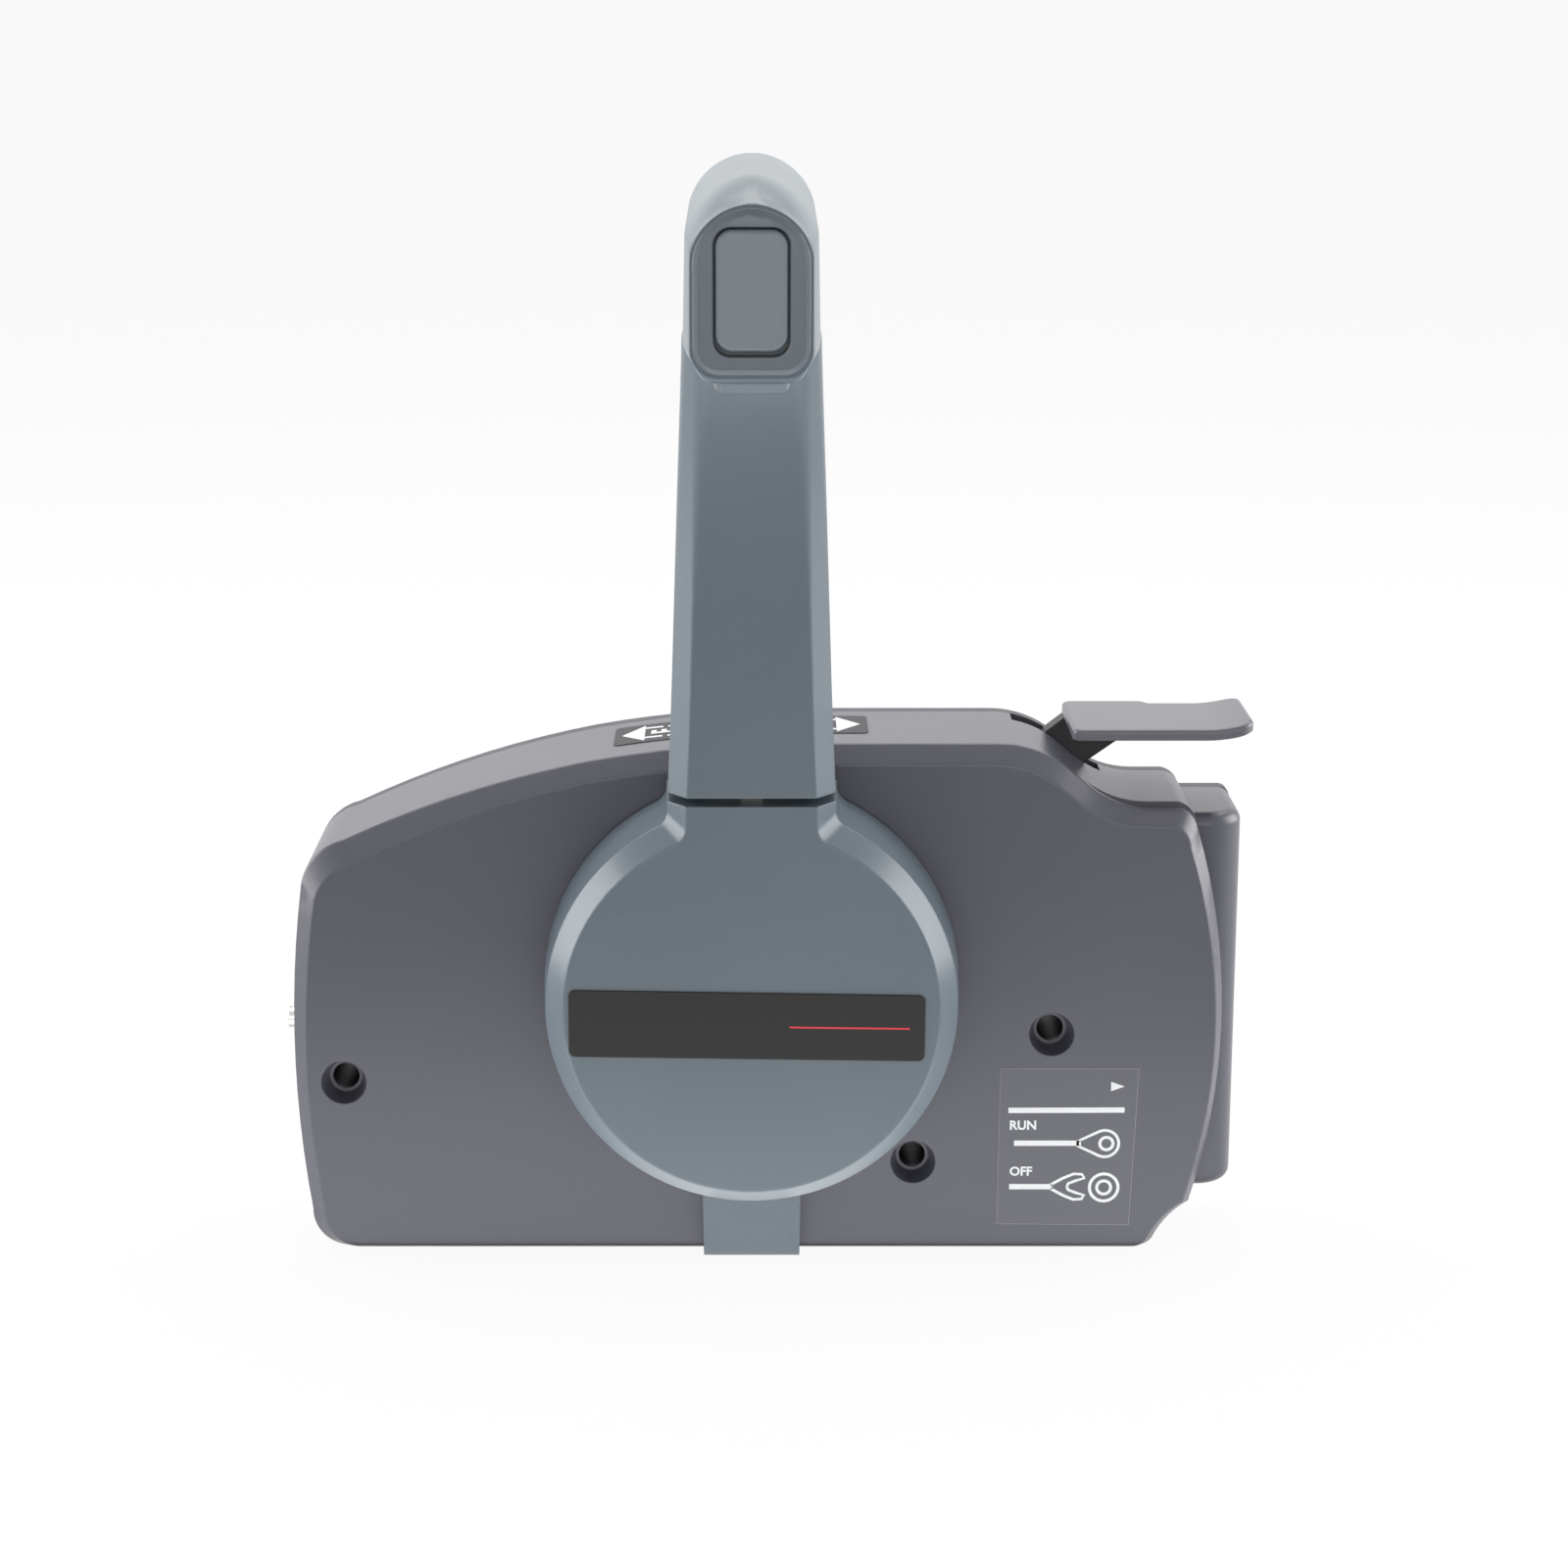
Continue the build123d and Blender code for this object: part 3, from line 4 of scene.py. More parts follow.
import bmesh
import bpy
import numpy as np
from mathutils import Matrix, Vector

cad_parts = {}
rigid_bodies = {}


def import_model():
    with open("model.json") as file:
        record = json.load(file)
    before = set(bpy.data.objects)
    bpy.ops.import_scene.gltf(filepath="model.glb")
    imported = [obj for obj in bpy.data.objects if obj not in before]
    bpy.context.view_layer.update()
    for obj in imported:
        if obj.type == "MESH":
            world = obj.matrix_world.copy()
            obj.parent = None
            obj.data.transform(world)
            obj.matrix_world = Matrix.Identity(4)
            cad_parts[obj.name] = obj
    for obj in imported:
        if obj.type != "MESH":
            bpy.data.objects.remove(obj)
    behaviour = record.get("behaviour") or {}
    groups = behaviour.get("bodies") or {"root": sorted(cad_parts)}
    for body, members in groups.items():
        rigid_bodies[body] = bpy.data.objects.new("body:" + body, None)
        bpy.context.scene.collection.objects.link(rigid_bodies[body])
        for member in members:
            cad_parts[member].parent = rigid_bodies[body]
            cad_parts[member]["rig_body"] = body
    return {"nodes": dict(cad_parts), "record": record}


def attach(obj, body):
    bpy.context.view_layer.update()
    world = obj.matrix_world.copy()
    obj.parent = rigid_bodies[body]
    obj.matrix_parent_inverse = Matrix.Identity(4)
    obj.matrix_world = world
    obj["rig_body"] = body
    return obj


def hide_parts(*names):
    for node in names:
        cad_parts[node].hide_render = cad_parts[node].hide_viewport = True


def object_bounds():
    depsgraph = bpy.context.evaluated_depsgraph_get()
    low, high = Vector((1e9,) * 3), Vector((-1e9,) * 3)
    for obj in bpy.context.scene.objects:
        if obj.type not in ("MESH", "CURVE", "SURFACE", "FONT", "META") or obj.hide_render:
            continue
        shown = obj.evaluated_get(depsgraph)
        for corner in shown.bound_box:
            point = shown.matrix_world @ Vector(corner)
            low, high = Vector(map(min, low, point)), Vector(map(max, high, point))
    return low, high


# Looks of a side-mount boat control box. X runs aft, Z up and Y into the bulkhead, and the operator looks
# along +Y. Drawn shapes are in millimetres; a depth is a distance from the mounting face to the operator.

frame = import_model()
cad_low, cad_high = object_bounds()
nodes = frame["nodes"]
MM = 0.001


def node_span(node):
    """Least and greatest corner of a CAD node, in millimetres to a hundredth."""
    mesh = nodes[node].data
    spots = np.zeros(3 * len(mesh.vertices))
    mesh.vertices.foreach_get("co", spots)
    spots = spots.reshape(-1, 3) / MM
    return np.round(spots.min(0), 2), np.round(spots.max(0), 2)


BOX_FACE = 44.0                                        # depth of the box's flat front
BOX_TOP = float(node_span("housing_shell")[1][2])      # height of the level part of its roof
ROOF_RADIUS = 261.7                                    # bow of the roof, forward of ROOF_FLAT
ROOF_FLAT = 8.0                                        # x from which the roof runs level aft
HUB_FACE = -float(node_span("hub_cover")[0][1])        # depth of the hub's flat front
HOOD_END = -float(node_span("handle")[0][1])           # depth of the grip hood's rim
NOISE_SPAN = (0.3, 0.7)                                # what a noise texture mostly fills


# ---------------------------------------------------------------- shader groups
def new_group(name, inputs, outputs):
    """Empty shader node group with named float, colour or vector sockets."""
    kinds = {"float": "NodeSocketFloat", "colour": "NodeSocketColor", "vector": "NodeSocketVector"}
    group = bpy.data.node_groups.new(name, "ShaderNodeTree")
    for label, kind, value in inputs:
        socket = group.interface.new_socket(name=label, in_out="INPUT", socket_type=kinds[kind])
        if value is not None:
            socket.default_value = value
    for label, kind in outputs:
        group.interface.new_socket(name=label, in_out="OUTPUT", socket_type=kinds[kind])
    return group, group.nodes.new("NodeGroupInput"), group.nodes.new("NodeGroupOutput")


def noise(tree, vector, scale, detail=2.0, roughness=0.5):
    """Noise texture on a vector; scale is a number or a socket."""
    node = tree.nodes.new("ShaderNodeTexNoise")
    node.inputs["Detail"].default_value = detail
    node.inputs["Roughness"].default_value = roughness
    tree.links.new(vector, node.inputs["Vector"])
    if isinstance(scale, (int, float)):
        node.inputs["Scale"].default_value = scale
    else:
        tree.links.new(scale, node.inputs["Scale"])
    return node.outputs["Fac"]


def math_node(tree, operation, *values, clamp=False):
    """Math node whose inputs are numbers or sockets."""
    node = tree.nodes.new("ShaderNodeMath")
    node.operation = operation
    node.use_clamp = clamp
    for slot, value in zip(node.inputs, values):
        if isinstance(value, (int, float)):
            slot.default_value = value
        else:
            tree.links.new(value, slot)
    return node.outputs[0]


def remap(tree, value, low, high, to_low, to_high):
    """Value carried from the span low..high to the span to_low..to_high, and held inside it."""
    node = tree.nodes.new("ShaderNodeMapRange")
    tree.links.new(value, node.inputs["Value"])
    for label, setting in (("From Min", low), ("From Max", high), ("To Min", to_low), ("To Max", to_high)):
        node.inputs[label].default_value = setting
    return node.outputs["Result"]


def blend_colour(tree, factor, first, second):
    """Mix of two colours, each a triple or a socket, by the factor's share of the second."""
    node = tree.nodes.new("ShaderNodeMix")
    node.data_type = "RGBA"
    tree.links.new(factor, node.inputs[0])
    for slot, value in ((node.inputs[6], first), (node.inputs[7], second)):
        if isinstance(value, tuple):
            slot.default_value = (*value, 1.0)
        else:
            tree.links.new(value, slot)
    return node.outputs[2]


def moulded_grain_group():
    """Spark-eroded mould grain: a fine height, with slow drifts of tone and gloss over the whole moulding.
    drift = cloud + streak / 2 - 3/4, and the tone is the colour times 1 + 2 Tone drift (drift + speck)."""
    cloud_scale, streak_scale = 14.0, 46.0
    speck_share = 0.35
    group, source, out = new_group(
        "moulded_grain",
        [("Vector", "vector", None), ("Grain", "float", 2600.0), ("Colour", "colour", None),
         ("Tone drift", "float", 0.06), ("Roughness", "float", 0.5), ("Gloss drift", "float", 0.05)],
        [("Colour", "colour"), ("Roughness", "float"), ("Height", "float")])
    vector = source.outputs["Vector"]
    fine = noise(group, vector, source.outputs["Grain"], 3.0, 0.6)
    cloud = noise(group, vector, cloud_scale, 2.0)
    streak = noise(group, vector, streak_scale, 4.0, 0.6)
    both = math_node(group, "ADD", cloud, math_node(group, "MULTIPLY", streak, 0.5))
    drift = math_node(group, "SUBTRACT", both, 0.75)
    speck = math_node(group, "MULTIPLY", math_node(group, "SUBTRACT", fine, 0.5), speck_share)
    tone = math_node(group, "MULTIPLY", math_node(group, "ADD", drift, speck), source.outputs["Tone drift"])
    shade = group.nodes.new("ShaderNodeVectorMath")
    shade.operation = "SCALE"
    group.links.new(source.outputs["Colour"], shade.inputs[0])
    lighter = math_node(group, "ADD", 1.0, math_node(group, "MULTIPLY", tone, 2.0))
    group.links.new(lighter, shade.inputs["Scale"])
    gloss = math_node(group, "MULTIPLY", drift, source.outputs["Gloss drift"])
    rough = math_node(group, "ADD", source.outputs["Roughness"], gloss, clamp=True)
    group.links.new(shade.outputs[0], out.inputs["Colour"])
    group.links.new(rough, out.inputs["Roughness"])
    group.links.new(fine, out.inputs["Height"])
    return group


def edge_rub_and_sheen_group():
    """Mask of edges, for a rubbed gloss and a painted highlight along them: where a rounded-off normal leaves
    the true one, broken up by noise.
    The two cosines below, between the two normals, are where the mask is 0 and 1."""
    flush, edge_full = 0.985, 0.85
    patch_scale, patch_span, least_patch = 220.0, (0.35, 0.65), 0.35
    group, source, out = new_group(
        "edge_rub_and_sheen", [("Vector", "vector", None), ("Width", "float", 0.0006), ("Amount", "float", 0.5)],
        [("Mask", "float"), ("Normal", "vector")])
    soft = group.nodes.new("ShaderNodeBevel")
    soft.samples = 4
    group.links.new(source.outputs["Width"], soft.inputs["Radius"])
    true = group.nodes.new("ShaderNodeNewGeometry")
    dot = group.nodes.new("ShaderNodeVectorMath")
    dot.operation = "DOT_PRODUCT"
    group.links.new(soft.outputs["Normal"], dot.inputs[0])
    group.links.new(true.outputs["Normal"], dot.inputs[1])
    edge = remap(group, dot.outputs["Value"], flush, edge_full, 0.0, 1.0)
    patches = noise(group, source.outputs["Vector"], patch_scale, 3.0)
    patchy = remap(group, patches, *patch_span, least_patch, 1.0)
    broken = math_node(group, "MULTIPLY", edge, patchy)
    mask = math_node(group, "MULTIPLY", broken, source.outputs["Amount"], clamp=True)
    group.links.new(mask, out.inputs["Mask"])
    group.links.new(soft.outputs["Normal"], out.inputs["Normal"])
    return group


GRAIN = moulded_grain_group()
EDGE = edge_rub_and_sheen_group()


# ---------------------------------------------------------------- materials
def start_material(name):
    """New material with its node tree, shader and object-coordinate socket."""
    material = bpy.data.materials.new(name)
    material.use_nodes = True
    tree = material.node_tree
    shader = tree.nodes["Principled BSDF"]
    place = tree.nodes.new("ShaderNodeTexCoord").outputs["Object"]
    return material, tree, shader, place


def place_group(tree, group, **values):
    """Shader group set in a tree; each input, named with _ for a space, is a number, a colour or a socket."""
    node = tree.nodes.new("ShaderNodeGroup")
    node.node_tree = group
    for label, value in values.items():
        socket = node.inputs[label.replace("_", " ")]
        if isinstance(value, (int, float)):
            socket.default_value = value
        elif isinstance(value, tuple):
            socket.default_value = (*value, 1.0)
        else:
            tree.links.new(value, socket)
    return node


def bump_shader(tree, shader, height, normal, depth, strength):
    """Height of a grain or of scratches, in metres of depth, laid over a normal and given to the shader."""
    bump = tree.nodes.new("ShaderNodeBump")
    bump.inputs["Distance"].default_value = depth
    bump.inputs["Strength"].default_value = strength
    tree.links.new(height, bump.inputs["Height"])
    tree.links.new(normal, bump.inputs["Normal"])
    tree.links.new(bump.outputs["Normal"], shader.inputs["Normal"])


def moulded_plastic(name, colour, roughness, grain=2600.0, depth=0.00003, drift=0.06, rub_and_sheen=0.25, edge=0.0005,
                    specular=0.5):
    """Grained moulding with softened edges, glossier along them like rubbed plastic, and painted paler there
    as a highlight.
    """
    gloss_drift, sheen_gain, sheen_lift, rub_polish, grain_strength = 0.08, 1.5, 0.03, 0.1, 0.4
    material, tree, shader, place = start_material(name)
    grained = place_group(tree, GRAIN, Vector=place, Grain=grain, Colour=colour, Tone_drift=drift,
                          Roughness=roughness, Gloss_drift=gloss_drift)
    rub_and_sheen_edge = place_group(tree, EDGE, Vector=place, Width=edge, Amount=rub_and_sheen)
    # pale is the painted highlight colour laid along the edges by the mask.
    pale = tuple(min(1.0, c * sheen_gain + sheen_lift) for c in colour)
    tone = blend_colour(tree, rub_and_sheen_edge.outputs["Mask"], grained.outputs["Colour"], pale)
    tree.links.new(tone, shader.inputs["Base Color"])
    polish = math_node(tree, "MULTIPLY", rub_and_sheen_edge.outputs["Mask"], rub_polish)
    smooth = math_node(tree, "SUBTRACT", grained.outputs["Roughness"], polish, clamp=True)
    tree.links.new(smooth, shader.inputs["Roughness"])
    bump_shader(tree, shader, grained.outputs["Height"], rub_and_sheen_edge.outputs["Normal"], depth, grain_strength)
    shader.inputs["Specular IOR Level"].default_value = specular
    return material


def turned_metal(name, colour, roughness, scratch=900.0, rub_and_sheen=0.4):
    """Metal with fine scratches along X, duller clouds, and brighter edges: partly rubbed wear, partly a
    painted highlight.
    """
    scratch_stretch, cloud_scale, cloud_share, cloud_tone, edge_tone = 0.12, 60.0, 0.35, 0.7, 1.35
    smoother, rougher, scratch_depth, scratch_strength, edge_width = 0.07, 0.1, 0.00001, 0.35, 0.0003
    material, tree, shader, place = start_material(name)
    stretch = tree.nodes.new("ShaderNodeMapping")
    stretch.inputs["Scale"].default_value = (scratch_stretch, 1.0, 1.0)
    tree.links.new(place, stretch.inputs["Vector"])
    lines = noise(tree, stretch.outputs["Vector"], scratch, 3.0, 0.7)
    cloud = remap(tree, noise(tree, place, cloud_scale, 3.0), *NOISE_SPAN, 0.0, cloud_share)
    rub_and_sheen_edge = place_group(tree, EDGE, Vector=place, Width=edge_width, Amount=rub_and_sheen)
    tone = blend_colour(tree, cloud, colour, tuple(c * cloud_tone for c in colour))
    tone = blend_colour(tree, rub_and_sheen_edge.outputs["Mask"], tone, tuple(min(1.0, c * edge_tone) for c in colour))
    tree.links.new(tone, shader.inputs["Base Color"])
    shader.inputs["Metallic"].default_value = 1.0
    rough = remap(tree, lines, *NOISE_SPAN, roughness - smoother, roughness + rougher)
    tree.links.new(rough, shader.inputs["Roughness"])
    bump_shader(tree, shader, lines, rub_and_sheen_edge.outputs["Normal"], scratch_depth, scratch_strength)
    return material


def printed_ink(name, colour, roughness=0.4):
    """Screen-printed ink: an even colour, a little thin in places."""
    thin_scale, thin_span, thin_share, thin_tone = 700.0, (0.4, 0.75), 0.18, 0.75
    gloss_scale, smoother, rougher = 1500.0, 0.05, 0.08
    material, tree, shader, place = start_material(name)
    thin = remap(tree, noise(tree, place, thin_scale, 3.0), *thin_span, 0.0, thin_share)
    tone = blend_colour(tree, thin, colour, tuple(c * thin_tone for c in colour))
    tree.links.new(tone, shader.inputs["Base Color"])
    cloud = noise(tree, place, gloss_scale)
    rough = remap(tree, cloud, *NOISE_SPAN, roughness - smoother, roughness + rougher)
    tree.links.new(rough, shader.inputs["Roughness"])
    return material


# The rub amount of each finish sets how far its edges are glossed and painted paler as a highlight.
HOUSING = moulded_plastic("housing_plastic", (0.086, 0.087, 0.108), 0.31, drift=0.05)
PLATE = moulded_plastic("back_plate_plastic", (0.07, 0.072, 0.085), 0.55, drift=0.05)
LEVER = moulded_plastic("lever_plastic", (0.12, 0.151, 0.176), 0.29, drift=0.05)
BEZEL = moulded_plastic("bezel_plastic", (0.118, 0.145, 0.17), 0.26, drift=0.05)
BUTTON = moulded_plastic("button_plastic", (0.2, 0.234, 0.263), 0.4, drift=0.04, rub_and_sheen=0.5)
IDLE = moulded_plastic("idle_lever_plastic", (0.115, 0.116, 0.136), 0.3, drift=0.03, rub_and_sheen=0.0, edge=0.0003)
BLACK = moulded_plastic("black_plastic", (0.02, 0.02, 0.022), 0.45, drift=0.1)
RUBBER = moulded_plastic("rubber", (0.018, 0.018, 0.019), 0.75, grain=1500.0, depth=0.00006, drift=0.12,
                         rub_and_sheen=0.1)
RED = moulded_plastic("red_plastic", (0.45, 0.02, 0.015), 0.28, drift=0.04)
STEEL = turned_metal("zinc_plated_steel", (0.5, 0.5, 0.49), 0.36)
BRIGHT = turned_metal("bright_steel", (0.68, 0.68, 0.67), 0.25)
GEAR = turned_metal("oiled_gear_steel", (0.33, 0.32, 0.3), 0.33)
SPRING = turned_metal("spring_steel", (0.3, 0.3, 0.31), 0.3)
CAST = turned_metal("cast_aluminium", (0.52, 0.52, 0.53), 0.5, scratch=300.0)
CHROME = turned_metal("chrome_trim", (0.78, 0.78, 0.78), 0.12, rub_and_sheen=0.2)
DARK = turned_metal("blackened_steel", (0.05, 0.05, 0.053), 0.42)

SLOT_MATERIALS = {
    "housing_plastic": HOUSING, "plate_plastic": PLATE, "lever_plastic": LEVER, "bezel_plastic": BEZEL,
    "button_plastic": BUTTON, "idle_plastic": IDLE, "black_plastic": BLACK, "rubber": RUBBER,
    "red_plastic": RED, "steel": STEEL, "bright_steel": BRIGHT, "gear_steel": GEAR, "spring_steel": SPRING,
    "cast_aluminium": CAST, "chrome_trim": CHROME,
}
# The idle cam's blackened finish is partly its own dark bracket and partly painted shade under the idle
# lever.
NODE_MATERIALS = {"neutral_trigger": LEVER, "idle_cam": DARK, "mount_sleeves": DARK}
NODE_SLOTS = {row["node"]: row["material_slot"] for row in frame["record"]["subparts"]}


def finish_cad_nodes():
    """Gives every carried-over node the finish of its own material slot, or its own finish if it has one."""
    for node, slot in NODE_SLOTS.items():
        piece = nodes[node]
        piece.data.materials.clear()
        piece.data.materials.append(NODE_MATERIALS.get(node, SLOT_MATERIALS[slot]))


finish_cad_nodes()


# ---------------------------------------------------------------- mesh tools
def add_piece(name, points, faces, material, body, slot):
    """Mesh piece of one material; its object sits at the origin and rides on a body. The slot argument is not
    used.
    """
    mesh = bpy.data.meshes.new(name)
    mesh.from_pydata(np.asarray(points).tolist(), [], [list(map(int, f)) for f in faces])
    mesh.update()
    mesh.materials.append(material)
    piece = bpy.data.objects.new(name, mesh)
    bpy.context.scene.collection.objects.link(piece)
    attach(piece, body)
    return piece


def merged_points(mesh, decimals):
    """Points of a mesh rounded to some decimals, each kept once, and the number of every vertex's point."""
    spots = np.zeros(3 * len(mesh.vertices))
    mesh.vertices.foreach_get("co", spots)
    merged, order = np.unique(np.round(spots.reshape(-1, 3), decimals), axis=0, return_inverse=True)
    return merged, order.ravel()


def grid_faces(rows, columns, close_rows=False, close_columns=False):
    """Quads of a grid of points numbered row by row; either way round may be closed."""
    i = np.arange(rows if close_rows else rows - 1)
    j = np.arange(columns if close_columns else columns - 1)
    i, j = (a.ravel() for a in np.meshgrid(i, j, indexing="ij"))
    i2, j2 = (i + 1) % rows, (j + 1) % columns
    return np.stack([i * columns + j, i * columns + j2, i2 * columns + j2, i2 * columns + j], 1)


def unit(vectors):
    """Rows v / |v|."""
    return vectors / np.linalg.norm(vectors, axis=1)[:, None]


def side_normals(along_next, along_last):
    """Normal to the left at each point of a line: the two unit sides there added and turned by 90."""
    along = unit(unit(along_next) + unit(along_last))
    return np.stack([-along[:, 1], along[:, 0]], 1)


def inward(ring, distance):
    """Closed outline moved inwards by a distance: P + n d, n being the mean normal of the two sides at P."""
    return ring + side_normals(np.roll(ring, -1, 0) - ring, ring - np.roll(ring, 1, 0)) * distance


def prism(outline, low, high, place, crown=0.0):
    """Flat outline P(t) given a thickness: points (P, low) and (P, high), the top drawn in by any crown."""
    ring = np.asarray(outline, float)
    after = np.roll(ring, -1, 0)
    if np.sum(ring[:, 0] * after[:, 1] - after[:, 0] * ring[:, 1]) < 0:
        ring = ring[::-1]
    levels = [(ring, low), (ring, high)]
    if crown:
        turn = 0.3 * crown
        levels = [(ring, low), (ring, high - crown), (inward(ring, turn), high - turn),
                  (inward(ring, crown), high)]
    count = len(ring)
    points = np.concatenate([place(r[:, 0], r[:, 1], np.full(count, w)) for r, w in levels])
    faces = [list(q) for q in grid_faces(len(levels), count, close_columns=True)]
    top = (len(levels) - 1) * count
    return points, [list(range(count))[::-1], list(range(top, top + count))] + faces


def stroke(rows, place, closed=False):
    """Four-sided stroke: its rows, each a line of points and a height, joined corner to corner and capped."""
    count = len(rows[0][0])
    points = np.stack([place(r[:, 0], r[:, 1], np.full(count, w)) for r, w in rows], 1).reshape(-1, 3)
    faces = [list(q)[::-1] for q in grid_faces(count, 4, close_rows=closed, close_columns=True)]
    if not closed:
        end = 4 * count
        faces += [[0, 1, 2, 3], [end - 1, end - 2, end - 3, end - 4]]
    return points, faces


def ribbon(line, width, low, high, place, closed=False):
    """Stroke along P(t): the four corners P -+ n width/2 at both heights, carried along the line."""
    line = np.array(line, float)
    along_next, along_last = np.roll(line, -1, 0) - line, line - np.roll(line, 1, 0)
    if not closed:
        along_next[-1], along_last[0] = along_last[-1], along_next[0]
    side = side_normals(along_next, along_last) * width / 2
    right, left = line - side, line + side
    return stroke([(right, low), (left, low), (left, high), (right, high)], place, closed)


def joined(shapes):
    """Several point-and-face sets as one."""
    starts = np.cumsum([0] + [len(points) for points, _ in shapes])
    faces = [[int(i) + start for i in polygon]
             for (_, polygons), start in zip(shapes, starts) for polygon in polygons]
    return np.concatenate([points for points, _ in shapes]), faces


def rounded(corners, radius, steps=5):
    """Outline with each corner replaced by an arc: with unit sides a, b and half angle h at P, the centre is
    C = P + r (a + b) / |a + b| / sin h, and the points are C + r n, n turning from one foot to the other."""
    corner = np.asarray(corners, float)
    a, b = unit(np.roll(corner, 1, 0) - corner), unit(np.roll(corner, -1, 0) - corner)
    half = np.arccos(np.clip((a * b).sum(1), -1, 1)) / 2
    centre = corner + unit(a + b) * (radius / np.sin(half))[:, None]
    foot = (radius / np.tan(half))[:, None]
    first, last = corner + a * foot, corner + b * foot
    share = np.linspace(0, 1, steps + 1)[None, :, None]
    chord = (first - centre)[:, None] * (1 - share) + (last - centre)[:, None] * share
    return (centre[:, None] + radius * chord / np.linalg.norm(chord, axis=2)[..., None]).reshape(-1, 2)


def circle(centre, radius, start=0.0, end=360.0, steps=28):
    """Points C + r (cos t, sin t) of an arc; a full turn leaves its last point out."""
    turns = np.radians(np.linspace(start, end, steps + 1))
    points = np.stack([centre[0] + radius * np.cos(turns), centre[1] + radius * np.sin(turns)], 1)
    return points[:-1] if abs(end - start) >= 360.0 else points


def lettering(words, height, centre, turn, low, high, place):
    """Bold type made a mesh, scaled to a height, turned by R(turn) and then carried to its place."""
    boldness, decimals = 0.03, 5
    curve = bpy.data.curves.new("type", "FONT")
    curve.body = words
    curve.align_x, curve.align_y = "CENTER", "CENTER"
    curve.size = 1.0
    curve.offset = boldness
    curve.extrude = 0.5
    curve.resolution_u = 3
    holder = bpy.data.objects.new("type", curve)
    mesh = bpy.data.meshes.new_from_object(holder)
    merged, order = merged_points(mesh, decimals)
    polygons = [list(dict.fromkeys(order[list(p.vertices)].tolist())) for p in mesh.polygons]
    bpy.data.objects.remove(holder)
    bpy.data.curves.remove(curve)
    flat = merged[:, :2]
    flat = (flat - (flat.max(0) + flat.min(0)) / 2) * height / np.ptp(flat[:, 1])
    c, s = math.cos(math.radians(turn)), math.sin(math.radians(turn))
    across, up = centre[0] + c * flat[:, 0] - s * flat[:, 1], centre[1] + s * flat[:, 0] + c * flat[:, 1]
    points = place(across, up, np.where(merged[:, 2] > 0, high, low))
    return points, [p for p in polygons if len(p) > 2]


def on_front(depth):
    """Drawing on a face towards the operator: (across u, up v, height above it w) -> (u, -depth - w, v)."""
    return lambda u, v, w: np.stack([u, -(depth + w), v], -1) * MM


def on_roof(depth):
    """Drawing on the roof: with R and c for ROOF_RADIUS and ROOF_FLAT, z is
    BOX_TOP - R + sqrt(R^2 - (x - c)^2) forward of x = c, and BOX_TOP aft of it."""
    def place(u, v, w):
        drop = ROOF_RADIUS - np.sqrt(ROOF_RADIUS ** 2 - np.minimum(u - ROOF_FLAT, 0.0) ** 2)
        return np.stack([u, v - depth, BOX_TOP - drop + w], -1) * MM
    return place


# ---------------------------------------------------------------- smooth twins of the moulded pieces
MOULDED_NODES = ("housing_shell", "back_plate", "hub_cover", "neck_rear_cover", "lower_cover", "grip_bezel",
                 "trim_button", "neutral_trigger", "idle_lever")


def smooth_twin(node, angle=32.0, shape=None):
    """Copy of a node's triangles with their corners merged, shaded round at edges under an angle and sharp at
    the rest, with normals weighted to the large faces."""
    decimals, weight = 7, 60
    source = nodes[node]
    mesh = source.data
    corners = np.zeros(3 * len(mesh.polygons), int)
    mesh.polygons.foreach_get("vertices", corners)
    merged, order = merged_points(mesh, decimals)
    faces = order[corners].reshape(-1, 3)
    kept = (faces[:, 0] != faces[:, 1]) & (faces[:, 1] != faces[:, 2]) & (faces[:, 2] != faces[:, 0])
    twin = add_piece(node + "_skin", merged, faces[kept], mesh.materials[0], source["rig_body"],
                     NODE_SLOTS[node])
    if shape:
        shape(twin.data)
    twin.data.shade_smooth()
    twin.data.set_sharp_from_angle(angle=math.radians(angle))
    weigh = twin.modifiers.new("weighted_normals", "WEIGHTED_NORMAL")
    weigh.keep_sharp = True
    weigh.weight = weight
    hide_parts(node)


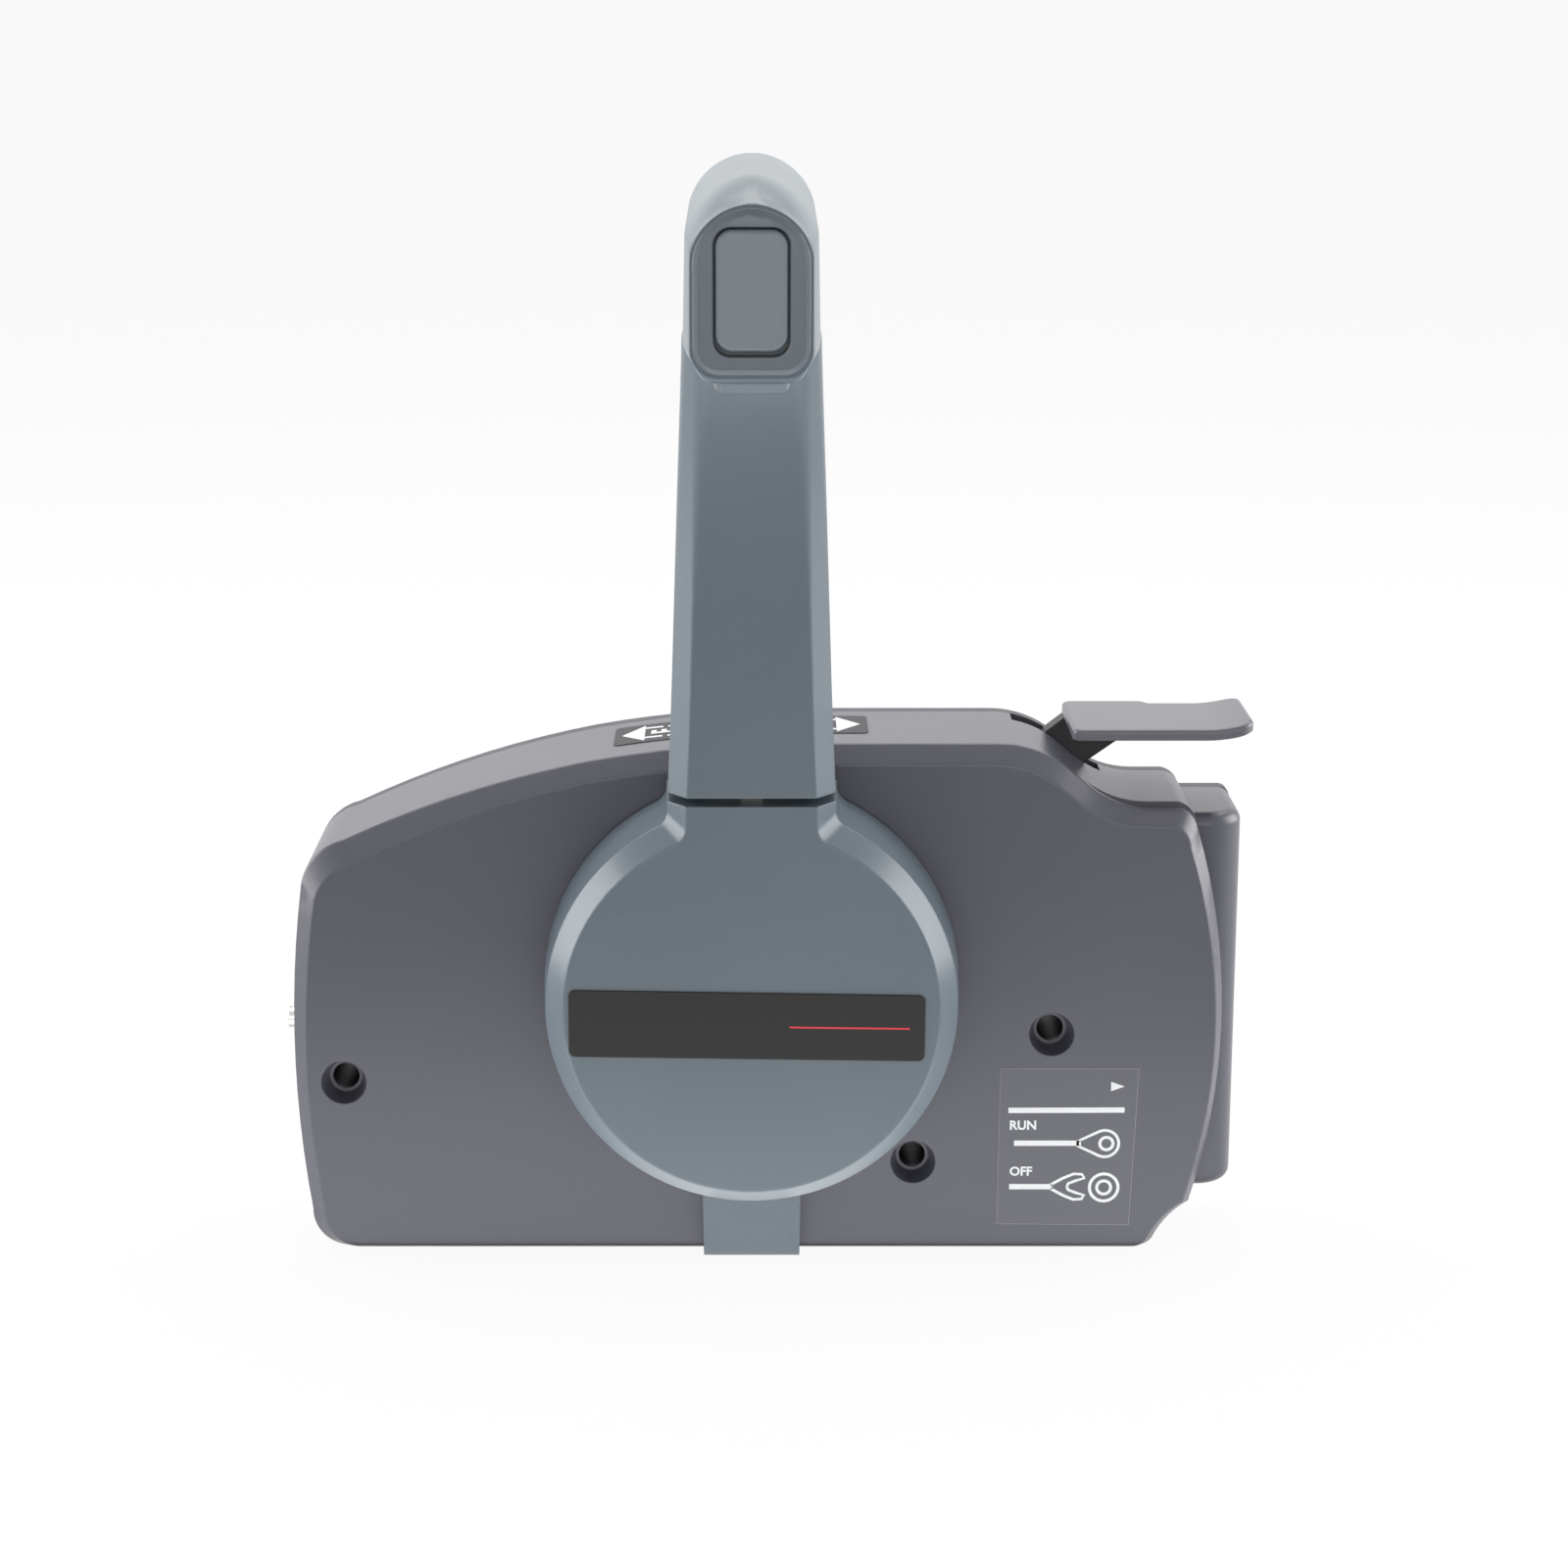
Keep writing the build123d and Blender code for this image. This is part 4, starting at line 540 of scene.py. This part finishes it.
def eased_hood(mesh):
    """Handle with a longer nose on its hood. At a depth the outside is drawn in towards the button's ring by
    the share n^2, n running from 0 at start to 1 at HOOD_END, in place of the CAD edge's 1 - sqrt(1 - r^2),
    r running in the same way from roll_start. With the gain g = n^2 - 1 + sqrt(1 - r^2), never under 0,
    x' = x (1 - narrowing g), and z' = z - lowering (z - nose_z) g above nose_z. What the ring holds stays."""
    start, roll_start, last_cut, cut_count = 104.0, 123.5, 122.0, 10
    nose_z, narrowing, lowering = 172.0, 0.1, 0.195
    ring_half_width, ring_arch_z, ring_arch_height = 12.2, 179.6, 9.9
    ring_edge, ring_fade = 0.95, 0.08
    cuts = bmesh.new()
    cuts.from_mesh(mesh)
    for cut in np.linspace(start, last_cut, cut_count):
        parts = cuts.verts[:] + cuts.edges[:] + cuts.faces[:]
        bmesh.ops.bisect_plane(cuts, geom=parts, plane_co=(0, -cut * MM, 0), plane_no=(0, 1, 0), dist=1e-7)
    cuts.to_mesh(mesh)
    cuts.free()
    points = np.zeros(3 * len(mesh.vertices))
    mesh.vertices.foreach_get("co", points)
    across, depth, height = (points.reshape(-1, 3) / (MM, -MM, MM)).T
    nose = np.clip((depth - start) / (HOOD_END - start), 0, 1) ** 2
    roll = np.clip((depth - roll_start) / (HOOD_END - roll_start), 0, 1)
    gain = np.maximum(nose - 1 + np.sqrt(1 - roll ** 2), 0)
    ring = np.hypot(across / ring_half_width, np.maximum(height - ring_arch_z, 0) / ring_arch_height)
    gain *= np.clip((ring - ring_edge) / ring_fade, 0, 1)
    lowered = height - lowering * gain * np.maximum(height - nose_z, 0)
    eased = np.stack([across * (1 - narrowing * gain), -depth, lowered], 1) * MM
    mesh.vertices.foreach_set("co", eased.ravel())
    mesh.update()


# ---------------------------------------------------------------- thin printed pieces
NAMEPLATE = moulded_plastic("nameplate_film", (0.018, 0.0175, 0.017), 0.5, grain=5200.0, depth=0.00001,
                            drift=0.05, rub_and_sheen=0.5, specular=0.3)
STRIP_FILM = moulded_plastic("direction_strip_film", (0.06, 0.06, 0.064), 0.6, grain=4000.0, drift=0.04,
                             rub_and_sheen=0.1, specular=0.25)
# The label film's high rub amount and the pale grey film edge finish are painted highlights on the clear
# film's edges.
LABEL_FILM = moulded_plastic("label_film", (0.1, 0.101, 0.121), 0.36, grain=1800.0, depth=0.00001, drift=0.05,
                             rub_and_sheen=0.9)
FILM_EDGE_SHEEN = moulded_plastic("film_edge_sheen", (0.3, 0.3, 0.32), 0.3, grain=900.0, depth=0.00001, drift=0.4,
                            rub_and_sheen=0.0)
WHITE_INK = printed_ink("white_ink", (0.78, 0.79, 0.8))
RED_INK = printed_ink("red_ink", (0.62, 0.03, 0.05))


def make_nameplate():
    """Dark blank plate across the hub, its rim rolled over, with a thin red line at its right."""
    sunk, proud, rim, corner_radius = 0.05, 0.4, 0.25, 1.5
    line_width, line_sunk, line_proud = 0.45, 0.02, 0.04
    face = on_front(HUB_FACE)
    corners = [(-42.7, -10.6), (40.4, -11.7), (40.5, 4.4), (-42.7, 5.7)]
    plate = prism(rounded(corners, corner_radius), -sunk, proud, face, rim)
    add_piece("hub_nameplate", *plate, NAMEPLATE, "lever", "black_plastic")
    line = [(8.8, -3.3), (36.9, -3.65)]
    red = ribbon(line, line_width, proud - line_sunk, proud + line_proud, face)
    add_piece("hub_nameplate_line", *red, RED_INK, "lever", "red_plastic")


def make_direction_strip():
    """Strip along the roof under the lever, with an arrow for ahead and one for astern. Its edges stand at
    reach from its middle, and where its nearer end is s < corner away, at reach - corner + sqrt(corner^2 -
    (corner - s)^2)."""
    middle, thick, ink = 19.5, 0.15, 0.06
    x0, x1, reach, corner = -33.4, 28.2, 9.6, 1.4
    end_steps, long_steps, long_inset = 7, 20, 3
    head_half_width, bar_near, bar_far, bar_overlap, letter_height = 8.0, 4.4, 5.9, 0.02, 6.6
    top = on_roof(middle)
    x = np.concatenate([np.linspace(x0, x0 + corner, end_steps),
                        np.linspace(x0 + long_inset, x1 - long_inset, long_steps),
                        np.linspace(x1 - corner, x1, end_steps)])
    into_corner = np.maximum(corner - np.minimum(x - x0, x1 - x), 0)
    half = reach - corner + np.sqrt(np.maximum(corner ** 2 - into_corner ** 2, 0))
    near_edge, far_edge = np.stack([x, -half], 1), np.stack([x, half], 1)
    strip = stroke([(near_edge, 0.0), (far_edge, 0.0), (far_edge, thick), (near_edge, thick)], top)
    add_piece("direction_strip", *strip, STRIP_FILM, "housing", "housing_plastic")
    arrows = []
    for side, tip, neck, root in ((-1, -31.6, -26.0, -14.5), (1, 26.4, 20.6, 9.0)):
        head = [(tip, 0.0), (neck, head_half_width), (neck, -head_half_width)]
        arrows.append(prism(head, thick, thick + ink, top))
        foot = neck - side * bar_overlap
        for edge in (-1, 1):
            near, far = edge * bar_near, edge * bar_far
            bar = [(foot, far), (root, far), (root, near), (foot, near)]
            arrows.append(prism(bar, thick, thick + ink, top))
    for letter, along in (("F", -21.2), ("R", 15.8)):
        arrows.append(lettering(letter, letter_height, (along, 0.0), 90, thick, thick + ink, top))
    add_piece("direction_marks", *joined(arrows), WHITE_INK, "housing", "button_plastic")


def make_stop_label():
    """Clear film beside the stop switch, its rim painted pale as a highlight on the film's edge: an arrow to
    it, and its clip on and off for run and off.
    """
    face = on_front(BOX_FACE)
    film_sunk, film_proud, film_corner = 0.03, 0.07, 0.4
    rim_width, rim_low, rim_high = 0.22, 0.03, 0.09
    film = [(59.9, -62.6), (92.4, -62.9), (94.0, -22.6), (60.2, -22.6)]
    label = prism(rounded(film, film_corner), -film_sunk, film_proud, face)
    add_piece("stop_switch_label", *label, LABEL_FILM, "housing", "housing_plastic")
    rim_line = [(60.0, -62.5), (92.3, -62.8), (93.9, -22.7), (60.3, -22.7)]
    rim = ribbon(rim_line, rim_width, rim_low, rim_high, face, closed=True)
    add_piece("stop_label_sheen_rim", *rim, FILM_EDGE_SHEEN, "housing", "housing_plastic")

    low, high = 0.05, 0.12
    letter_height, rule_width, ring_width, clip_width = 2.4, 1.35, 0.75, 0.7
    clip_centre, run_post, off_post = (86.0, -41.8), (86.4, -41.8), (86.0, -53.1)
    arrow_head = [(87.2, -26.0), (87.2, -28.4), (90.5, -27.2)]
    arrow_rule = [(62.4, -33.3), (90.6, -33.2)]
    run_cord, off_cord = [(63.9, -41.7), (80.2, -41.7)], [(62.9, -52.9), (73.4, -52.9)]
    closed_clip = np.concatenate([circle(clip_centre, 3.4, -115, 115, 22), [(79.4, -41.2), (79.4, -42.4)]])
    open_clip = np.array([(73.0, 0.5), (76.0, 2.2), (78.6, 3.3), (80.6, 3.2), (81.2, 2.2), (79.0, 1.5),
                          (77.3, 0.8), (77.0, 0.0)])
    marks = [prism(arrow_head, low, high, face)]
    marks += [ribbon(line, rule_width, low, high, face) for line in (arrow_rule, run_cord, off_cord)]
    marks += [lettering("RUN", letter_height, (66.0, -37.1), 0, low, high, face),
              lettering("OFF", letter_height, (65.7, -48.9), 0, low, high, face)]
    marks.append(ribbon(closed_clip, clip_width, low, high, face, closed=True))
    for side in (-1, 1):
        marks.append(ribbon(open_clip * (1, side) + (0, off_cord[1][1]), clip_width, low, high, face))
    for centre, radius in ((run_post, 1.6), (off_post, 3.5), (off_post, 1.7)):
        marks.append(ribbon(circle(centre, radius), ring_width, low, high, face, closed=True))
    add_piece("stop_label_marks", *joined(marks), WHITE_INK, "housing", "button_plastic")


for moulded in MOULDED_NODES:
    smooth_twin(moulded)
smooth_twin("handle", 44.0, eased_hood)
make_nameplate()
make_direction_strip()
make_stop_label()


# ---------------------------------------------------------------- stage
def light_path(tree, *kinds):
    """1 where a ray is of any of the named kinds, else 0."""
    path = tree.nodes.new("ShaderNodeLightPath")
    seen = path.outputs[kinds[0]]
    for kind in kinds[1:]:
        seen = math_node(tree, "MAXIMUM", seen, path.outputs[kind])
    return seen


def pale_stage(name, colour, glow):
    """Floor finish: pale and diffuse, lifted towards white where the camera or a gloss sees it. In a gloss it
    dims to the far share towards the operator: from y_far, in front of the box, to y_near, under it."""
    y_far, y_near, far_share = -0.7, -0.12, 0.25
    material = bpy.data.materials.new(name)
    material.use_nodes = True
    tree = material.node_tree
    tree.nodes.clear()
    matt = tree.nodes.new("ShaderNodeBsdfDiffuse")
    matt.inputs["Color"].default_value = (*colour, 1.0)
    lit = tree.nodes.new("ShaderNodeEmission")
    split = tree.nodes.new("ShaderNodeSeparateXYZ")
    tree.links.new(tree.nodes.new("ShaderNodeTexCoord").outputs["Object"], split.inputs[0])
    near = remap(tree, split.outputs["Y"], y_far, y_near, far_share, 1.0)
    strength = math_node(tree, "MAXIMUM", light_path(tree, "Is Camera Ray"), near)
    tree.links.new(strength, lit.inputs["Strength"])
    share = math_node(tree, "MULTIPLY", light_path(tree, "Is Camera Ray", "Is Glossy Ray"), glow)
    mix = tree.nodes.new("ShaderNodeMixShader")
    out = tree.nodes.new("ShaderNodeOutputMaterial")
    tree.links.new(share, mix.inputs[0])
    tree.links.new(matt.outputs[0], mix.inputs[1])
    tree.links.new(lit.outputs[0], mix.inputs[2])
    tree.links.new(mix.outputs[0], out.inputs["Surface"])
    return material


def make_floor():
    """Wide pale plane just under the box."""
    width, gap = 160.0, 0.0004
    bpy.ops.mesh.primitive_plane_add(size=width, location=(0, 0, cad_low[2] - gap))
    floor = bpy.context.object
    floor.name = "floor"
    floor.data.materials.append(pale_stage("pale_floor", (0.9, 0.9, 0.9), 0.93))


def soft_box(name, place, aim, width, height, power):
    """Rectangular lamp in metres and watts, turned to a point, and not seen by the camera."""
    light = bpy.data.lights.new(name, "AREA")
    light.shape = "RECTANGLE"
    light.size, light.size_y = width, height
    light.energy = power
    lamp = bpy.data.objects.new(name, light)
    lamp.location = place
    lamp.rotation_euler = (Vector(aim) - Vector(place)).to_track_quat("-Z", "Y").to_euler()
    lamp.visible_camera = False
    bpy.context.scene.collection.objects.link(lamp)


def light_studio():
    """Soft boxes turned to the object, and a small card at its foot that shines up. Each has its name, place,
    aim, width, height and power."""
    middle, overhead = (0.0, -0.04, 0.06), (0.0, -0.12, 1.0)
    for box in (("overhead_box", (0.0, 0.5, 1.15), middle, 1.6, 1.0, 13.0),
                ("left_box", (-1.2, 0.15, 0.3), middle, 0.9, 1.0, 16.0),
                ("right_box", (1.2, 0.15, 0.3), middle, 0.9, 1.0, 16.0),
                ("back_box", (0.0, 1.6, 0.55), middle, 1.8, 0.5, 0.8),
                ("front_box", (0.0, -1.4, 0.25), middle, 1.2, 0.5, 3.6),
                ("floor_card", (0.0, -0.12, -0.068), overhead, 0.34, 0.15, 0.17)):
        soft_box(*box)


def white_room():
    """World that lights the object at the room's level and looks white to the camera, gloss and glass."""
    room_light = 0.26
    world = bpy.data.worlds.new("studio")
    world.use_nodes = True
    tree = world.node_tree
    direct = light_path(tree, "Is Camera Ray", "Is Transmission Ray", "Is Glossy Ray")
    backdrop = tree.nodes["Background"]
    backdrop.inputs["Color"].default_value = (1.0, 1.0, 1.0, 1.0)
    tree.links.new(remap(tree, direct, 0.0, 1.0, room_light, 1.0), backdrop.inputs["Strength"])
    bpy.context.scene.world = world


def make_camera():
    """Camera in front of the hub and above it, tipped down a little, for an image 1600 pixels square."""
    image_pixels, focal_pixels, shift_pixels = 1600, 3534, 33.0
    sensor_width, place, tip = 36.0, (0.0, -0.844, 0.240), 13.48
    camera = bpy.data.cameras.new("camera")
    camera.sensor_width = sensor_width
    camera.lens = sensor_width * focal_pixels / image_pixels
    camera.shift_x = shift_pixels / image_pixels
    camera.clip_start, camera.clip_end = 0.05, 200.0
    holder = bpy.data.objects.new("camera", camera)
    holder.location = place
    holder.rotation_euler = (math.radians(90.0 - tip), 0.0, 0.0)
    bpy.context.scene.collection.objects.link(holder)
    bpy.context.scene.camera = holder


make_floor()
light_studio()
white_room()
make_camera()
bpy.context.scene.view_settings.view_transform = "Standard"
